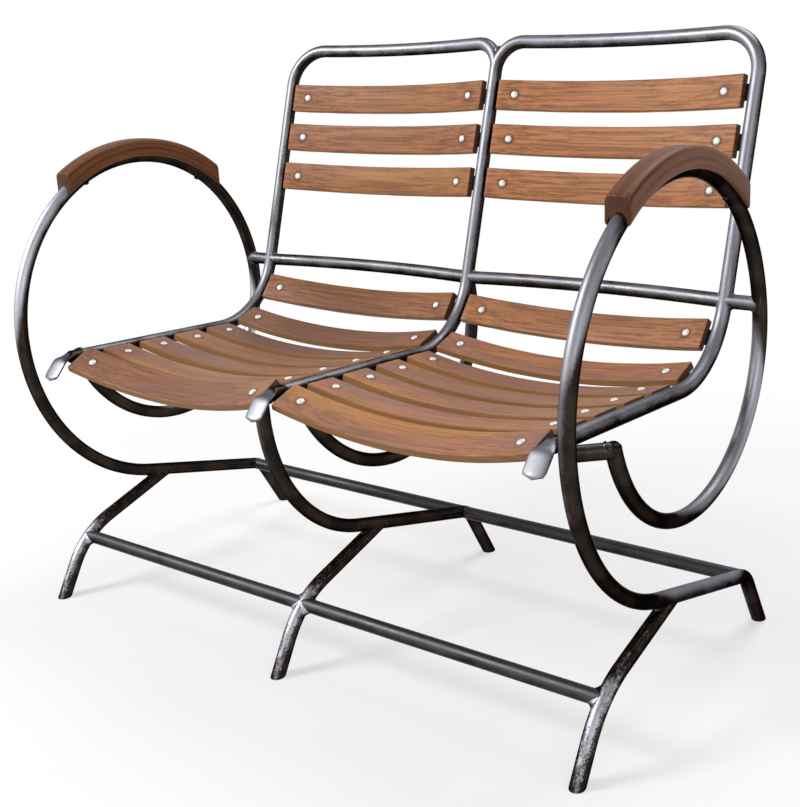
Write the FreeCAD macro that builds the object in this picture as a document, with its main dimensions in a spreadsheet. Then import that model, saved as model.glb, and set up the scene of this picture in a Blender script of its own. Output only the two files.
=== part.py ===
import FreeCAD, Part
import math
import os

import Sketcher

# Two-seat spring glider bench: three bent tube frames, two tube seat frames with wooden slats,
# and two wooden armrests. Millimetres and degrees, X across the bench, Y towards its back, Z up,
# origin on the floor under the middle of the bench.

V = FreeCAD.Vector
X_AXIS = V(1, 0, 0)
Y_AXIS = V(0, 1, 0)
Z_AXIS = V(0, 0, 1)

SIZES = {
    # Tube, and the parallel planes that the hoops and the seat sides stand in
    "tube_diameter": 22,
    "tube_wall": 2,
    "hoop_offset": 523,
    "seat_offset": 470,
    # Side hoop, from the rear foot forward, up, over and back under the seat
    "rear_foot_y": 240,
    "rear_leg_lean": 31.5,
    "rear_leg_length": 99,
    "rear_bend_radius": 42,
    "rail_rise": 14.4,
    "rail_length": 279,
    "front_arc_radius": 309,
    "front_arc_sweep": 73.6,
    "top_arc_radius": 274,
    "top_arc_sweep": 171.5,
    "curl_rear_radius": 213.5,
    "curl_rear_sweep": 86,
    "curl_front_radius": 233,
    "curl_front_sweep": 87.3,
    # Middle frame: a tighter front spring, and a rear spring that hangs from the rear rail
    "middle_rail_length": 292,
    "middle_arc_radius": 255,
    "middle_arc_sweep": 78.2,
    "middle_front_reach": 8,
    "middle_spring_height": 521,
    "middle_spring_lead": 0.5,
    "middle_spring_lean": 16.7,
    "middle_spring_rear_radius": 199,
    "middle_spring_rear_sweep": 88,
    "middle_spring_front_radius": 248,
    "middle_spring_front_sweep": 88.5,
    "middle_spring_reach": 6,
    # Where the front springs bend: each tube is parted there for the hinge that stands in for it
    "flex_sweep": 31,
    "middle_flex_sweep": 34.6,
    "flex_gap": 1.6,
    # Front legs and the stretchers
    "front_foot_y": -326,
    "front_leg_lean": 30.7,
    "front_leg_length": 59,
    "front_bend_radius": 150,
    "front_bend_sweep": 42.2,
    "front_leg_reach": 149.8,
    "front_stretcher_y": -258,
    "front_stretcher_z": 93.3,
    "rear_stretcher_y": 163,
    "rear_stretcher_z": 103,
    # Seat frame side, from the front end of the seat tube back and up
    "seat_front_y": -287,
    "seat_front_z": 436.5,
    "seat_slope": 3.15,
    "seat_length": 343,
    "seat_bend_radius": 145,
    "seat_bend_sweep": 76.2,
    "upright_length": 338,
    "outer_corner_radius": 66,
    "inner_corner_radius": 48,
    "outer_bow_angle": 8,
    "inner_bow_angle": 8.64,
    "crown_weld_sweep": 72,
    # Flattened front end of each seat tube
    "paddle_neck_length": 12,
    "paddle_bend_radius": 16,
    "paddle_drop_angle": 50,
    "paddle_blade_length": 17,
    "paddle_tip_length": 17,
    "paddle_width": 34,
    "paddle_thickness": 5.5,
    # Rear rail, and the short links under the front of the seat
    "rail_y": 203,
    "rail_z": 521,
    "rail_bow_angle": 9.73,
    "rail_end_gap": 3,
    "link_outer_y": -230.5,
    "link_outer_z": 422.7,
    "link_inner_y": -272,
    "link_inner_z": 419.5,
    # Slats: the front one, the others on the seat, and those of the back
    "front_slat_width": 55,
    "front_slat_sag": 34,
    "front_slat_lift": -2,
    "left_front_slat_tilt": 29,
    "right_front_slat_tilt": 22,
    "seat_slat_width": 57,
    "seat_slat_sag": 24,
    "seat_slat_lift": 2,
    "seat_slat_start": 4,
    "seat_slat_pitch": 79,
    "back_slat_width": 50,
    "back_slat_sag": 24,
    "back_slat_lift": 5,
    "bend_slat_place": 398,
    "lower_back_slat_place": 480,
    "upper_back_slat_place": 699,
    "back_slat_pitch": 74.5,
    "slat_thickness": 12,
    "slat_edge_radius": 2,
    "slat_end_gap": 16,
    # Tabs and rivets that hold the slats
    "rivet_inset": 31,
    "rivet_diameter": 6,
    "rivet_hole_clearance": 0.15,
    "rivet_head_diameter": 12,
    "rivet_head_height": 3.2,
    "rivet_tail_diameter": 10,
    "rivet_tail_height": 1.6,
    "tab_width": 25,
    "tab_thickness": 4,
    "tab_past_rivet": 14,
    "tab_into_tube": 43,
    # Armrests, bent over the hoops and cut off upright at both ends
    "arm_width": 35,
    "arm_height": 30,
    "arm_edge_radius": 7,
    "arm_front_y": -220,
    "arm_rear_y": 120,
    "arm_middle_angle": 85,
    "arm_board_sweep": 90,
    "front_screw_angle": 114,
    "rear_screw_angle": 57,
    "screw_diameter": 4.5,
    "screw_length": 34,
    "screw_head_diameter": 9,
    "screw_head_height": 3,
}
SLATS_ON_SEAT = 5
SLATS_UPPER_BACK = 3
# The place in a side hoop's path at which its top arc starts
TOP_ARC_START = 6
FOOT_ALLOWANCE = 12
SKETCH_LEAD = 10
END_SETBACK = 1.5
FLOOR_BLOCK = (1300, 1000, 60)
TRIM_BLOCK = (60, 60, 60)

doc = FreeCAD.newDocument("glider_bench")
sheet = doc.addObject("Spreadsheet::Sheet", "Sizes")
nodes = []


class Size:
    """A length or angle with its value and the sheet expression that gives it."""

    def __init__(self, value, expression):
        self.value = value
        self.expression = expression

    def combine(self, other, sign, value):
        text = other.expression if isinstance(other, Size) else repr(other)
        return Size(value, f"({self.expression} {sign} {text})")

    def __add__(self, other):
        return self.combine(other, "+", self.value + number(other))

    def __sub__(self, other):
        return self.combine(other, "-", self.value - number(other))

    def __mul__(self, other):
        return self.combine(other, "*", self.value * number(other))

    def __truediv__(self, other):
        return self.combine(other, "/", self.value / number(other))

    def sine(self):
        return Size(math.sin(math.radians(self.value)), f"sin({self.expression} * 1 deg)")

    def cosine(self):
        return Size(math.cos(math.radians(self.value)), f"cos({self.expression} * 1 deg)")

    def from_right_angle(self):
        return Size(90 - self.value, f"(90 - {self.expression})")


def number(size):
    return size.value if isinstance(size, Size) else size


def size(name):
    return Size(float(sheet.get(name)), f"Sizes.{name}")


def fill_sheet():
    for row, (name, value) in enumerate(SIZES.items(), start=1):
        sheet.set(f"A{row}", name)
        sheet.set(f"B{row}", str(value))
        sheet.setAlias(f"B{row}", name)
    doc.recompute()


def bind(thing, **properties):
    """Ties properties of an object to sizes, now and in later recomputes."""
    for name, value in properties.items():
        setattr(thing, name, number(value))
        if isinstance(value, Size):
            thing.setExpression(name, value.expression)
    return thing


def node(thing, name):
    """Marks an object as a separate piece of the bench."""
    thing.Label = name
    nodes.append(thing)
    return thing


def cut(base, *tools):
    for tool in tools:
        result = doc.addObject("Part::Cut", f"{base.Name}_cut")
        result.Base = base
        result.Tool = tool
        base = result
    return base


def common(base, tool):
    result = doc.addObject("Part::Common", f"{base.Name}_common")
    result.Base = base
    result.Tool = tool
    return result


def fuse(*shapes):
    result = doc.addObject("Part::MultiFuse", f"{shapes[0].Name}_fused")
    result.Shapes = list(shapes)
    return result


def group(name, members):
    """Several separate solids of one kind held as one object."""
    result = doc.addObject("Part::Compound", name)
    result.Links = members
    return result


def axes_placement(origin, x_direction, z_direction):
    return FreeCAD.Placement(origin, FreeCAD.Rotation(x_direction, V(), z_direction, "ZXY"))


def side_plane(x):
    """Placement of a sketch whose own axes run towards the back and up, at a place across the bench."""
    return axes_placement(V(x, 0, 0), Y_AXIS, X_AXIS)


def facing(direction):
    return FreeCAD.Rotation(Z_AXIS, direction)


class Path:
    """A chain of tangent lines and arcs in one plane, as numbers and as a sketch."""

    def __init__(self, name, start, heading, placement):
        self.name = name
        self.start = start
        self.heading = heading
        self.placement = placement
        self.steps = []
        self.places = [(number(start[0]), number(start[1]), number(heading))]

    def line(self, length, drawn=True):
        u, v, angle = self.places[-1]
        turn, run = math.radians(angle), number(length)
        self.steps.append(("line", length, None, 0, drawn))
        self.places.append((u + run * math.cos(turn), v + run * math.sin(turn), angle))
        return self

    def arc(self, radius, sweep, side, drawn=True):
        """An arc that turns left for side 1 and right for side -1."""
        self.steps.append(("arc", radius, sweep, side, drawn))
        self.places.append(self.along_arc(self.places[-1], number(radius), number(sweep), side))
        return self

    def along_arc(self, place, radius, sweep, side):
        centre = self.arc_centre(place, radius, side)
        angle = place[2] + side * sweep
        out = math.radians(angle - side * 90)
        return (centre[0] + radius * math.cos(out), centre[1] + radius * math.sin(out), angle)

    def arc_centre(self, place, radius, side):
        inward = math.radians(place[2] + side * 90)
        return (place[0] + radius * math.cos(inward), place[1] + radius * math.sin(inward))

    def at(self, distance):
        """The place at a distance along the path: its two coordinates and the heading."""
        for (kind, first, sweep, side, drawn), place in zip(self.steps, self.places):
            length = number(first) if kind == "line" else number(first) * math.radians(number(sweep))
            if distance > length:
                distance -= length
                continue
            if kind == "arc":
                return self.along_arc(place, number(first), math.degrees(distance / number(first)), side)
            turn = math.radians(place[2])
            return (place[0] + distance * math.cos(turn), place[1] + distance * math.sin(turn), place[2])
        raise ValueError(f"{self.name} is shorter than the distance asked for")

    def point(self, place):
        return self.placement.multVec(V(place[0], place[1], 0))

    def direction(self, place):
        turn = math.radians(place[2])
        return self.placement.Rotation.multVec(V(math.cos(turn), math.sin(turn), 0))

    def sketch(self):
        drawing = doc.addObject("Sketcher::SketchObject", f"{self.name}_path")
        drawing.Placement = self.placement
        previous = None
        for index, (step, place, after) in enumerate(zip(self.steps, self.places, self.places[1:])):
            kind, first, sweep, side, drawn = step
            inlet, outlet = (2, 1) if side < 0 else (1, 2)
            drawing.addGeometry(self.element(step, place, after), not drawn)
            if previous is not None:
                drawing.addConstraint(Sketcher.Constraint("Tangent", index - 1, previous, index, inlet))
            if kind == "line":
                constrain(drawing, "Distance", (index,), first)
            else:
                constrain(drawing, "Radius", (index,), first)
                constrain(drawing, "Angle", (index,), sweep)
            previous = outlet
        constrain(drawing, "DistanceX", (-1, 1, 0, 1), self.start[0])
        constrain(drawing, "DistanceY", (-1, 1, 0, 1), self.start[1])
        constrain(drawing, "Angle", (0,), self.heading)
        return drawing

    def element(self, step, place, after):
        kind, first, sweep, side, drawn = step
        if kind == "line":
            return Part.LineSegment(V(place[0], place[1], 0), V(after[0], after[1], 0))
        centre = self.arc_centre(place, number(first), side)
        circle = Part.Circle(V(centre[0], centre[1], 0), Z_AXIS, number(first))
        begin = math.radians(place[2] - side * 90)
        finish = begin + side * math.radians(number(sweep))
        return Part.ArcOfCircle(circle, min(begin, finish), max(begin, finish))


def constrain(drawing, kind, elements, target):
    """Adds a dimension to a sketch and ties it to the sheet where it comes from there."""
    value = math.radians(number(target)) if kind == "Angle" else number(target)
    index = drawing.addConstraint(Sketcher.Constraint(kind, *elements, value))
    if isinstance(target, Size):
        unit = " * 1 deg" if kind == "Angle" else ""
        drawing.setExpression(f"Constraints[{index}]", f"{target.expression}{unit}")


def edges(first, last):
    return [f"Edge{index}" for index in range(first, last + 1)]


class Tube:
    """A round tube along a spine: its full bar, to cut others with, and its bore."""

    def __init__(self, name, spine, names_of_edges, point, direction):
        self.name = name
        radius = size("tube_diameter") / 2
        self.bar = self.sweep("bar", radius, spine, names_of_edges, point, direction)
        self.bore = self.sweep("bore", radius - size("tube_wall"), spine, names_of_edges, point, direction)

    def sweep(self, part, radius, spine, names_of_edges, point, direction):
        circle = bind(doc.addObject("Part::Circle", f"{self.name}_{part}_section"), Radius=radius)
        circle.Placement = FreeCAD.Placement(point, facing(direction))
        bar = doc.addObject("Part::Sweep", f"{self.name}_{part}")
        bar.Sections = [circle]
        bar.Spine = (spine, names_of_edges)
        bar.Solid = True
        return bar


def path_tube(name, path, spine, first_step, first_edge, last_edge):
    """A tube along some edges of a path, whose first edge is the path's numbered step."""
    place = path.places[first_step]
    return Tube(name, spine, edges(first_edge, last_edge), path.point(place), path.direction(place))


def straight_tube(name, start, end):
    """A straight tube between points on the axes of two others, just short of both axes."""
    along = end - start
    across = along.cross(Z_AXIS)
    path = Path(name, (END_SETBACK, 0), 0, axes_placement(start, along, across))
    path.line(along.Length - 2 * END_SETBACK)
    return path_tube(name, path, path.sketch(), 0, 1, 1)


def rear_foot_path(name, x):
    """Rear leg and its bend, the start of all three frames, drawn a little below the floor."""
    lean = size("rear_leg_lean")
    start = (size("rear_foot_y") + lean.sine() * FOOT_ALLOWANCE, lean.cosine() * -FOOT_ALLOWANCE)
    path = Path(name, start, lean + 90, side_plane(x))
    path.line(size("rear_leg_length") + FOOT_ALLOWANCE)
    return path.arc(size("rear_bend_radius"), (lean + size("rail_rise")).from_right_angle(), 1)


def parted_arc(path, radius, sweep, place_of_gap):
    """A front spring in two arcs with the gap of the hinge between them."""
    gap = size("flex_gap") / radius * math.degrees(1)
    path.arc(radius, place_of_gap - gap / 2, -1)
    path.arc(radius, gap, -1, drawn=False)
    return path.arc(radius, sweep - place_of_gap - gap / 2, -1)


def hoop_tubes(side, x):
    path = rear_foot_path(f"{side}_hoop", x)
    path.line(size("rail_length"))
    parted_arc(path, size("front_arc_radius"), size("front_arc_sweep"), size("flex_sweep"))
    path.arc(size("top_arc_radius"), size("top_arc_sweep"), -1)
    path.arc(size("curl_rear_radius"), size("curl_rear_sweep"), -1)
    path.arc(size("curl_front_radius"), size("curl_front_sweep"), -1)
    spine = path.sketch()
    lower = path_tube(f"{side}_hoop_lower", path, spine, 0, 1, 4)
    upper = path_tube(f"{side}_hoop_upper", path, spine, 5, 5, 8)
    return path, lower, upper


def middle_tubes():
    path = rear_foot_path("middle_frame", 0)
    path.line(size("middle_rail_length"))
    parted_arc(path, size("middle_arc_radius"), size("middle_arc_sweep"), size("middle_flex_sweep"))
    path.line(size("middle_front_reach"))
    spine = path.sketch()
    lower = path_tube("middle_frame_lower", path, spine, 0, 1, 4)
    upper = path_tube("middle_frame_upper", path, spine, 5, 5, 6)
    return lower, upper


def middle_spring_tube():
    start = (size("rail_y"), size("middle_spring_height"))
    heading = Size(SIZES["middle_spring_lean"] - 90, "(Sizes.middle_spring_lean - 90)")
    path = Path("middle_spring", start, heading, side_plane(0))
    path.line(size("middle_spring_lead"))
    path.arc(size("middle_spring_rear_radius"), size("middle_spring_rear_sweep"), -1)
    path.arc(size("middle_spring_front_radius"), size("middle_spring_front_sweep"), -1)
    path.line(size("middle_spring_reach"))
    return path_tube("middle_rear_spring", path, path.sketch(), 0, 1, 4)


def front_leg_tube(name, x):
    lean = size("front_leg_lean")
    start = (size("front_foot_y") - lean.sine() * FOOT_ALLOWANCE, lean.cosine() * -FOOT_ALLOWANCE)
    path = Path(name, start, lean.from_right_angle(), side_plane(x))
    path.line(size("front_leg_length") + FOOT_ALLOWANCE)
    path.arc(size("front_bend_radius"), size("front_bend_sweep"), -1)
    path.line(size("front_leg_reach"))
    return path_tube(name, path, path.sketch(), 0, 1, 3)


def seat_side_path(name, x):
    """Seat tube from its front end back, the bend, and the upright up to the top corner."""
    start = (size("seat_front_y"), size("seat_front_z"))
    heading = size("seat_slope") * -1
    path = Path(name, start, heading, side_plane(x))
    path.line(size("seat_length"))
    path.arc(size("seat_bend_radius"), size("seat_bend_sweep"), 1)
    return path.line(size("upright_length"))


def top_rail_radius():
    """Bow of the top rail that spans exactly from the outer corner to the inner one."""
    outer = math.radians(SIZES["outer_bow_angle"])
    inner = math.radians(SIZES["inner_bow_angle"])
    span = SIZES["seat_offset"]
    span -= SIZES["outer_corner_radius"] * math.cos(outer)
    span -= SIZES["inner_corner_radius"] * math.cos(inner)
    return span / (2 * math.sin((outer + inner) / 2) * math.cos((outer - inner) / 2))


def arc_sketch(name, origin, x_direction, z_direction, heading, radius, sweep, drawn=True):
    """One arc that turns right, tangent to a short lead line that isn't part of the tube."""
    turn = math.radians(heading)
    start = (-SKETCH_LEAD * math.cos(turn), -SKETCH_LEAD * math.sin(turn))
    path = Path(name, start, heading, axes_placement(origin, x_direction, z_direction))
    path.line(SKETCH_LEAD, drawn=False)
    return path.arc(radius, sweep, -1, drawn)


def seat_frame_tube(name, side, inner_side_complete):
    """One tube: seat, upright, over the back, and down again to the seat or to the crown weld."""
    outward = V(side, 0, 0)
    outer = seat_side_path(f"{name}_outer", side * SIZES["seat_offset"])
    paths, front_ends = [outer], [outer.places[0]]
    up = outer.direction(outer.places[-1])
    back = up.cross(X_AXIS)
    bow = math.radians(SIZES["outer_bow_angle"])
    inner_bow = math.radians(SIZES["inner_bow_angle"])
    along = outward * -math.cos(bow) + back * math.sin(bow)
    corner = arc_sketch(f"{name}_outer_corner", outer.point(outer.places[-1]), along, along.cross(up), 90,
                        size("outer_corner_radius"), 90)
    paths.append(corner)
    rail = arc_sketch(f"{name}_top_rail", corner.point(corner.places[-1]), outward * -1,
                      outward.cross(back) * -1, SIZES["outer_bow_angle"], top_rail_radius(),
                      size("outer_bow_angle") + size("inner_bow_angle"))
    paths.append(rail)
    along = outward * -math.cos(inner_bow) - back * math.sin(inner_bow)
    sweep = 90 if inner_side_complete else size("crown_weld_sweep")
    inner_corner = arc_sketch(f"{name}_inner_corner", rail.point(rail.places[-1]), along, along.cross(up),
                              0, size("inner_corner_radius"), sweep)
    paths.append(inner_corner)
    if inner_side_complete:
        end = inner_corner.point(inner_corner.places[-1])
        heading = size("seat_bend_sweep") - size("seat_slope") + 180
        inner = Path(f"{name}_inner", (end.y, end.z), heading, side_plane(end.x))
        inner.line(size("upright_length") + size("outer_corner_radius") - size("inner_corner_radius"))
        inner.arc(size("seat_bend_radius"), size("seat_bend_sweep"), -1)
        paths.append(inner.line(size("seat_length")))
        front_ends.append(inner.places[-1])
    spine = group(f"{name}_spine", [path.sketch() for path in paths])
    count = sum(drawn for path in paths for kind, first, sweep, side, drawn in path.steps)
    start = outer.places[0]
    return outer, front_ends, Tube(name, spine, edges(1, count), outer.point(start), outer.direction(start))


def flat_section(name, place, direction):
    """The flattened section of a paddle, wide across the bench."""
    section = doc.addObject("Part::Ellipse", name)
    bind(section, MajorRadius=size("paddle_width") / 2, MinorRadius=size("paddle_thickness") / 2)
    section.Placement = FreeCAD.Placement(place, FreeCAD.Rotation(X_AXIS, V(), direction, "XZY"))
    return section


def paddle(name, x, front_end):
    """The flattened front end of a seat tube: a neck, a bend and a blade with a round tip."""
    heading = Size(180 - SIZES["seat_slope"], "(180 - Sizes.seat_slope)")
    path = Path(name, (front_end[0], front_end[1]), heading, side_plane(x))
    path.line(size("paddle_neck_length"), drawn=False)
    path.arc(size("paddle_bend_radius"), size("paddle_drop_angle"), 1)
    path.line(size("paddle_blade_length"))
    root, neck, tip = path.places[0], path.places[1], path.places[-1]
    circle = bind(doc.addObject("Part::Circle", f"{name}_root"), Radius=size("tube_diameter") / 2)
    turn = FreeCAD.Rotation(X_AXIS, V(), path.direction(root), "XZY")
    circle.Placement = FreeCAD.Placement(path.point(root), turn)
    throat = doc.addObject("Part::Loft", f"{name}_throat")
    throat.Sections = [circle, flat_section(f"{name}_neck", path.point(neck), path.direction(neck))]
    throat.Solid = True
    blade = doc.addObject("Part::Sweep", f"{name}_blade")
    blade.Sections = [flat_section(f"{name}_section", path.point(neck), path.direction(neck))]
    blade.Spine = (path.sketch(), edges(1, 2))
    blade.Solid = True
    end = doc.addObject("Part::Ellipsoid", f"{name}_tip")
    bind(end, Radius1=size("paddle_thickness") / 2, Radius2=size("paddle_width") / 2,
         Radius3=size("paddle_tip_length"))
    end.Placement = axes_placement(path.point(tip), X_AXIS, X_AXIS.cross(path.direction(tip)))
    return path, [throat, blade, end]


def bowed_rail_tube(name, side):
    """Rear rail behind one seat, bowed towards the back, from just inside one upright to the other."""
    start = V(side * SIZES["seat_offset"], SIZES["rail_y"], SIZES["rail_z"])
    radius = size("seat_offset") / 2 / size("rail_bow_angle").sine()
    gap = size("rail_end_gap") / radius * math.degrees(1)
    path = arc_sketch(name, start, V(-side, 0, 0), V(0, 0, -side), SIZES["rail_bow_angle"], radius, gap,
                      drawn=False)
    path.arc(radius, size("rail_bow_angle") * 2 - gap * 2, -1)
    return path_tube(name, path, path.sketch(), 2, 1, 1)


def board(name, width, thickness, inner_radius, sweep, edge_radius, placement):
    """A board bent round the body's own X axis, midway along its sweep on the Z axis."""
    body = doc.addObject("PartDesign::Body", name)
    plane = [item for item in body.Origin.OriginFeatures if item.Role == "XZ_Plane"][0]
    drawing = body.newObject("Sketcher::SketchObject", f"{name}_section")
    drawing.AttachmentSupport = [(plane, "")]
    drawing.MapMode = "FlatFace"
    draw_rounded_rectangle(drawing, width, thickness, inner_radius, edge_radius)
    bend = body.newObject("PartDesign::Revolution", f"{name}_bend")
    bend.Profile = drawing
    bend.ReferenceAxis = (drawing, ["H_Axis"])
    bend.Midplane = True
    bind(bend, Angle=sweep)
    body.Tip = bend
    body.Placement = placement
    return body


def draw_rounded_rectangle(drawing, width, thickness, lower_edge, radius):
    """Lines and corner arcs, anticlockwise from the lower left, centred on the sketch's Y axis."""
    half, low, r = number(width) / 2, number(lower_edge), number(radius)
    high = low + number(thickness)
    corners = [(-half, low), (half, low), (half, high), (-half, high)]
    inward = [(1, 1), (-1, 1), (-1, -1), (1, -1)]
    for index, (corner, turn) in enumerate(zip(corners, inward)):
        after, after_turn = corners[(index + 1) % 4], inward[(index + 1) % 4]
        across, upward = (r, 0) if index % 2 == 0 else (0, r)
        start = V(corner[0] + turn[0] * across, corner[1] + turn[1] * upward, 0)
        end = V(after[0] + after_turn[0] * across, after[1] + after_turn[1] * upward, 0)
        drawing.addGeometry(Part.LineSegment(start, end), False)
    for index, (corner, turn) in enumerate(zip(corners, inward)):
        centre = V(corner[0] + turn[0] * r, corner[1] + turn[1] * r, 0)
        begin = math.pi + index * math.pi / 2
        circle = Part.Circle(centre, Z_AXIS, r)
        drawing.addGeometry(Part.ArcOfCircle(circle, begin, begin + math.pi / 2), False)
    for index in range(4):
        arc = 4 + index
        drawing.addConstraint(Sketcher.Constraint("Tangent", (index - 1) % 4, 2, arc, 1))
        drawing.addConstraint(Sketcher.Constraint("Tangent", arc, 2, index, 1))
    for index, kind in ((1, "Vertical"), (2, "Horizontal"), (3, "Vertical")):
        drawing.addConstraint(Sketcher.Constraint(kind, index))
    for arc in (5, 6, 7):
        drawing.addConstraint(Sketcher.Constraint("Equal", 4, arc))
    constrain(drawing, "Radius", (4,), radius)
    constrain(drawing, "Distance", (0,), width - radius * 2)
    constrain(drawing, "Distance", (1,), thickness - radius * 2)
    constrain(drawing, "DistanceY", (-1, 1, 0, 1), lower_edge)
    drawing.addConstraint(Sketcher.Constraint("Symmetric", 0, 1, 0, 2, -2))


def arc_angle(distance, radius):
    value = math.degrees(math.asin(number(distance) / number(radius)))
    return Size(value, f"asin({distance.expression} / {radius.expression})")


class Slat:
    """A bent slat at a distance along the seat side, turned forward by a tilt."""

    def __init__(self, label, seat_path, distance, kind, tilt=0):
        self.label = label
        self.place = seat_path.at(number(distance))
        self.tilt = tilt
        self.width = size(f"{kind}_slat_width")
        self.lift = size(f"{kind}_slat_lift")
        self.half_chord = size("seat_offset") / 2 - size("slat_end_gap")
        sag = size(f"{kind}_slat_sag")
        self.radius = (self.half_chord * self.half_chord + sag * sag) / (sag * 2)
        self.face = self.radius - size("slat_thickness") / 2

    def placement(self, middle):
        """At the slat's centre of bending, with Z out through the slat and X across its width."""
        heading = math.radians(self.place[2] + self.tilt)
        across = V(0, math.cos(heading), math.sin(heading))
        front = V(0, -math.sin(heading), math.cos(heading))
        to_chord = math.sqrt(self.radius.value ** 2 - self.half_chord.value ** 2)
        centre = V(middle, self.place[0], self.place[1]) + front * (self.lift.value + to_chord)
        return axes_placement(centre, across, front * -1)

    def board(self, middle):
        sweep = arc_angle(self.half_chord, self.radius) * 2
        return board(f"{self.label}_board", self.width, size("slat_thickness"), self.face, sweep,
                     size("slat_edge_radius"), self.placement(middle))

    def rivet_placement(self, middle, side):
        """At one rivet, with the origin at the slat's centre of bending and Z along the rivet."""
        angle = arc_angle(self.half_chord - size("rivet_inset"), self.radius)
        turn = FreeCAD.Rotation(X_AXIS, side * angle.value)
        return self.placement(middle).multiply(FreeCAD.Placement(V(), turn))


def seat_slats(name, seat_path):
    """The slats of one seat, from the front one back and up to the highest."""
    pitch, back_pitch = size("seat_slat_pitch"), size("back_slat_pitch")
    spots = [(size("seat_slat_start"), "front", SIZES[f"{name}_front_slat_tilt"])]
    spots += [(size("seat_slat_start") + pitch * index, "seat", 0) for index in range(1, SLATS_ON_SEAT)]
    spots += [(size("bend_slat_place"), "back", 0), (size("lower_back_slat_place"), "back", 0)]
    upper = size("upper_back_slat_place")
    spots += [(upper + back_pitch * index, "back", 0) for index in range(SLATS_UPPER_BACK)]
    return [Slat(f"{name}_slat_{index:02d}", seat_path, *spot) for index, spot in enumerate(spots, start=1)]


def shifted(placement, x, y, z):
    return placement.multiply(FreeCAD.Placement(V(x, y, z), FreeCAD.Rotation()))


def disc(name, radius, height, placement, level):
    """A cylinder along the placement's own Z axis, from a level on it."""
    cylinder = bind(doc.addObject("Part::Cylinder", name), Radius=radius, Height=height)
    cylinder.Placement = shifted(placement, 0, 0, number(level))
    return cylinder


def rivet(name, placement, face):
    """A rivet with a domed head on the slat's face and a flat one behind, and the bar of its hole."""
    grip = size("slat_thickness") + size("tab_thickness")
    radius = size("rivet_diameter") / 2
    dome = doc.addObject("Part::Ellipsoid", f"{name}_dome")
    bind(dome, Radius1=size("rivet_head_height"), Radius2=size("rivet_head_diameter") / 2, Angle2=0)
    dome.Placement = shifted(placement, 0, 0, face.value)
    shank = disc(f"{name}_shank", radius, grip, placement, face)
    tail_radius, tail_height = size("rivet_tail_diameter") / 2, size("rivet_tail_height")
    tail = disc(f"{name}_tail", tail_radius, tail_height, placement, face + grip)
    hole = disc(f"{name}_hole", radius + size("rivet_hole_clearance"), grip, placement, face)
    return fuse(dome, shank, tail), hole


def tab(name, placement, face, side):
    """Flat steel tab behind a slat's end, from past the rivet out into the seat tube."""
    length = size("tab_into_tube") + size("tab_past_rivet")
    plate = bind(doc.addObject("Part::Box", name), Length=size("tab_width"), Width=length,
                 Height=size("tab_thickness"))
    behind = face + size("slat_thickness")
    inner_end = -SIZES["tab_past_rivet"] if side < 0 else -SIZES["tab_into_tube"]
    plate.Placement = shifted(placement, -SIZES["tab_width"] / 2, inner_end, behind.value)
    return plate


def build_seat(name, seat_path, middle, frame):
    """Ten slats of one seat, and the rivets and tabs that hold their ends."""
    rivets, holes, tabs = [], [], []
    for slat in seat_slats(name, seat_path):
        plank = slat.board(middle)
        for end, side in (("left", -1), ("right", 1)):
            at_rivet = slat.rivet_placement(middle, side)
            whole, hole = rivet(f"{slat.label}_{end}_rivet", at_rivet, slat.face)
            rivets.append(whole)
            holes.append(hole)
            tabs.append(tab(f"{slat.label}_{end}_tab", at_rivet, slat.face, side))
        node(cut(plank, *holes[-2:]), slat.label)
    node(group(f"{name}_rivet_set", rivets), f"{name}_slat_rivets")
    all_holes = group(f"{name}_rivet_holes", holes)
    node(cut(group(f"{name}_tab_set", tabs), *frame, all_holes), f"{name}_slat_tabs")


def arm_placement(hoop_path, angle):
    """At the centre of the hoop's top arc, with Z out at an angle above the back."""
    place = hoop_path.places[TOP_ARC_START]
    centre = hoop_path.point(hoop_path.arc_centre(place, SIZES["top_arc_radius"], -1))
    return FreeCAD.Placement(centre, FreeCAD.Rotation(X_AXIS, angle - 90))


def armrest_screw(name, hoop_path, angle):
    """Round-headed screw from below, through the hoop and into the armrest."""
    placement = arm_placement(hoop_path, angle)
    under_tube = size("top_arc_radius") - size("tube_diameter") / 2
    height = size("screw_head_height")
    head = disc(f"{name}_head", size("screw_head_diameter") / 2, height, placement, under_tube - height)
    shank = disc(f"{name}_shank", size("screw_diameter") / 2, size("screw_length"), placement, under_tube)
    return fuse(head, shank)


def build_armrest(side, x, hoop_path, hoop_bar):
    """Wooden armrest let half over the top of the hoop, with its two screws."""
    placement = arm_placement(hoop_path, SIZES["arm_middle_angle"])
    wood = board(f"{side}_armrest_board", size("arm_width"), size("arm_height"), size("top_arc_radius"),
                 size("arm_board_sweep"), size("arm_edge_radius"), placement)
    width, front, rear = SIZES["arm_width"] + 2 * END_SETBACK, SIZES["arm_front_y"], SIZES["arm_rear_y"]
    between_ends = block(f"{side}_armrest_length", (width, rear - front, 2 * SIZES["top_arc_radius"]),
                         V(x - width / 2, front, placement.Base.z))
    screws = [armrest_screw(f"{side}_armrest_{end}_screw", hoop_path, SIZES[f"{end}_screw_angle"])
              for end in ("rear", "front")]
    node(cut(common(wood, between_ends), hoop_bar, *screws), f"{side}_armrest")
    return screws


def block(name, dimensions, corner, rotation=FreeCAD.Rotation()):
    """A plain block that only trims other pieces."""
    box = doc.addObject("Part::Box", name)
    box.Length, box.Width, box.Height = dimensions
    box.Placement = FreeCAD.Placement(corner, rotation)
    return box


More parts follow.
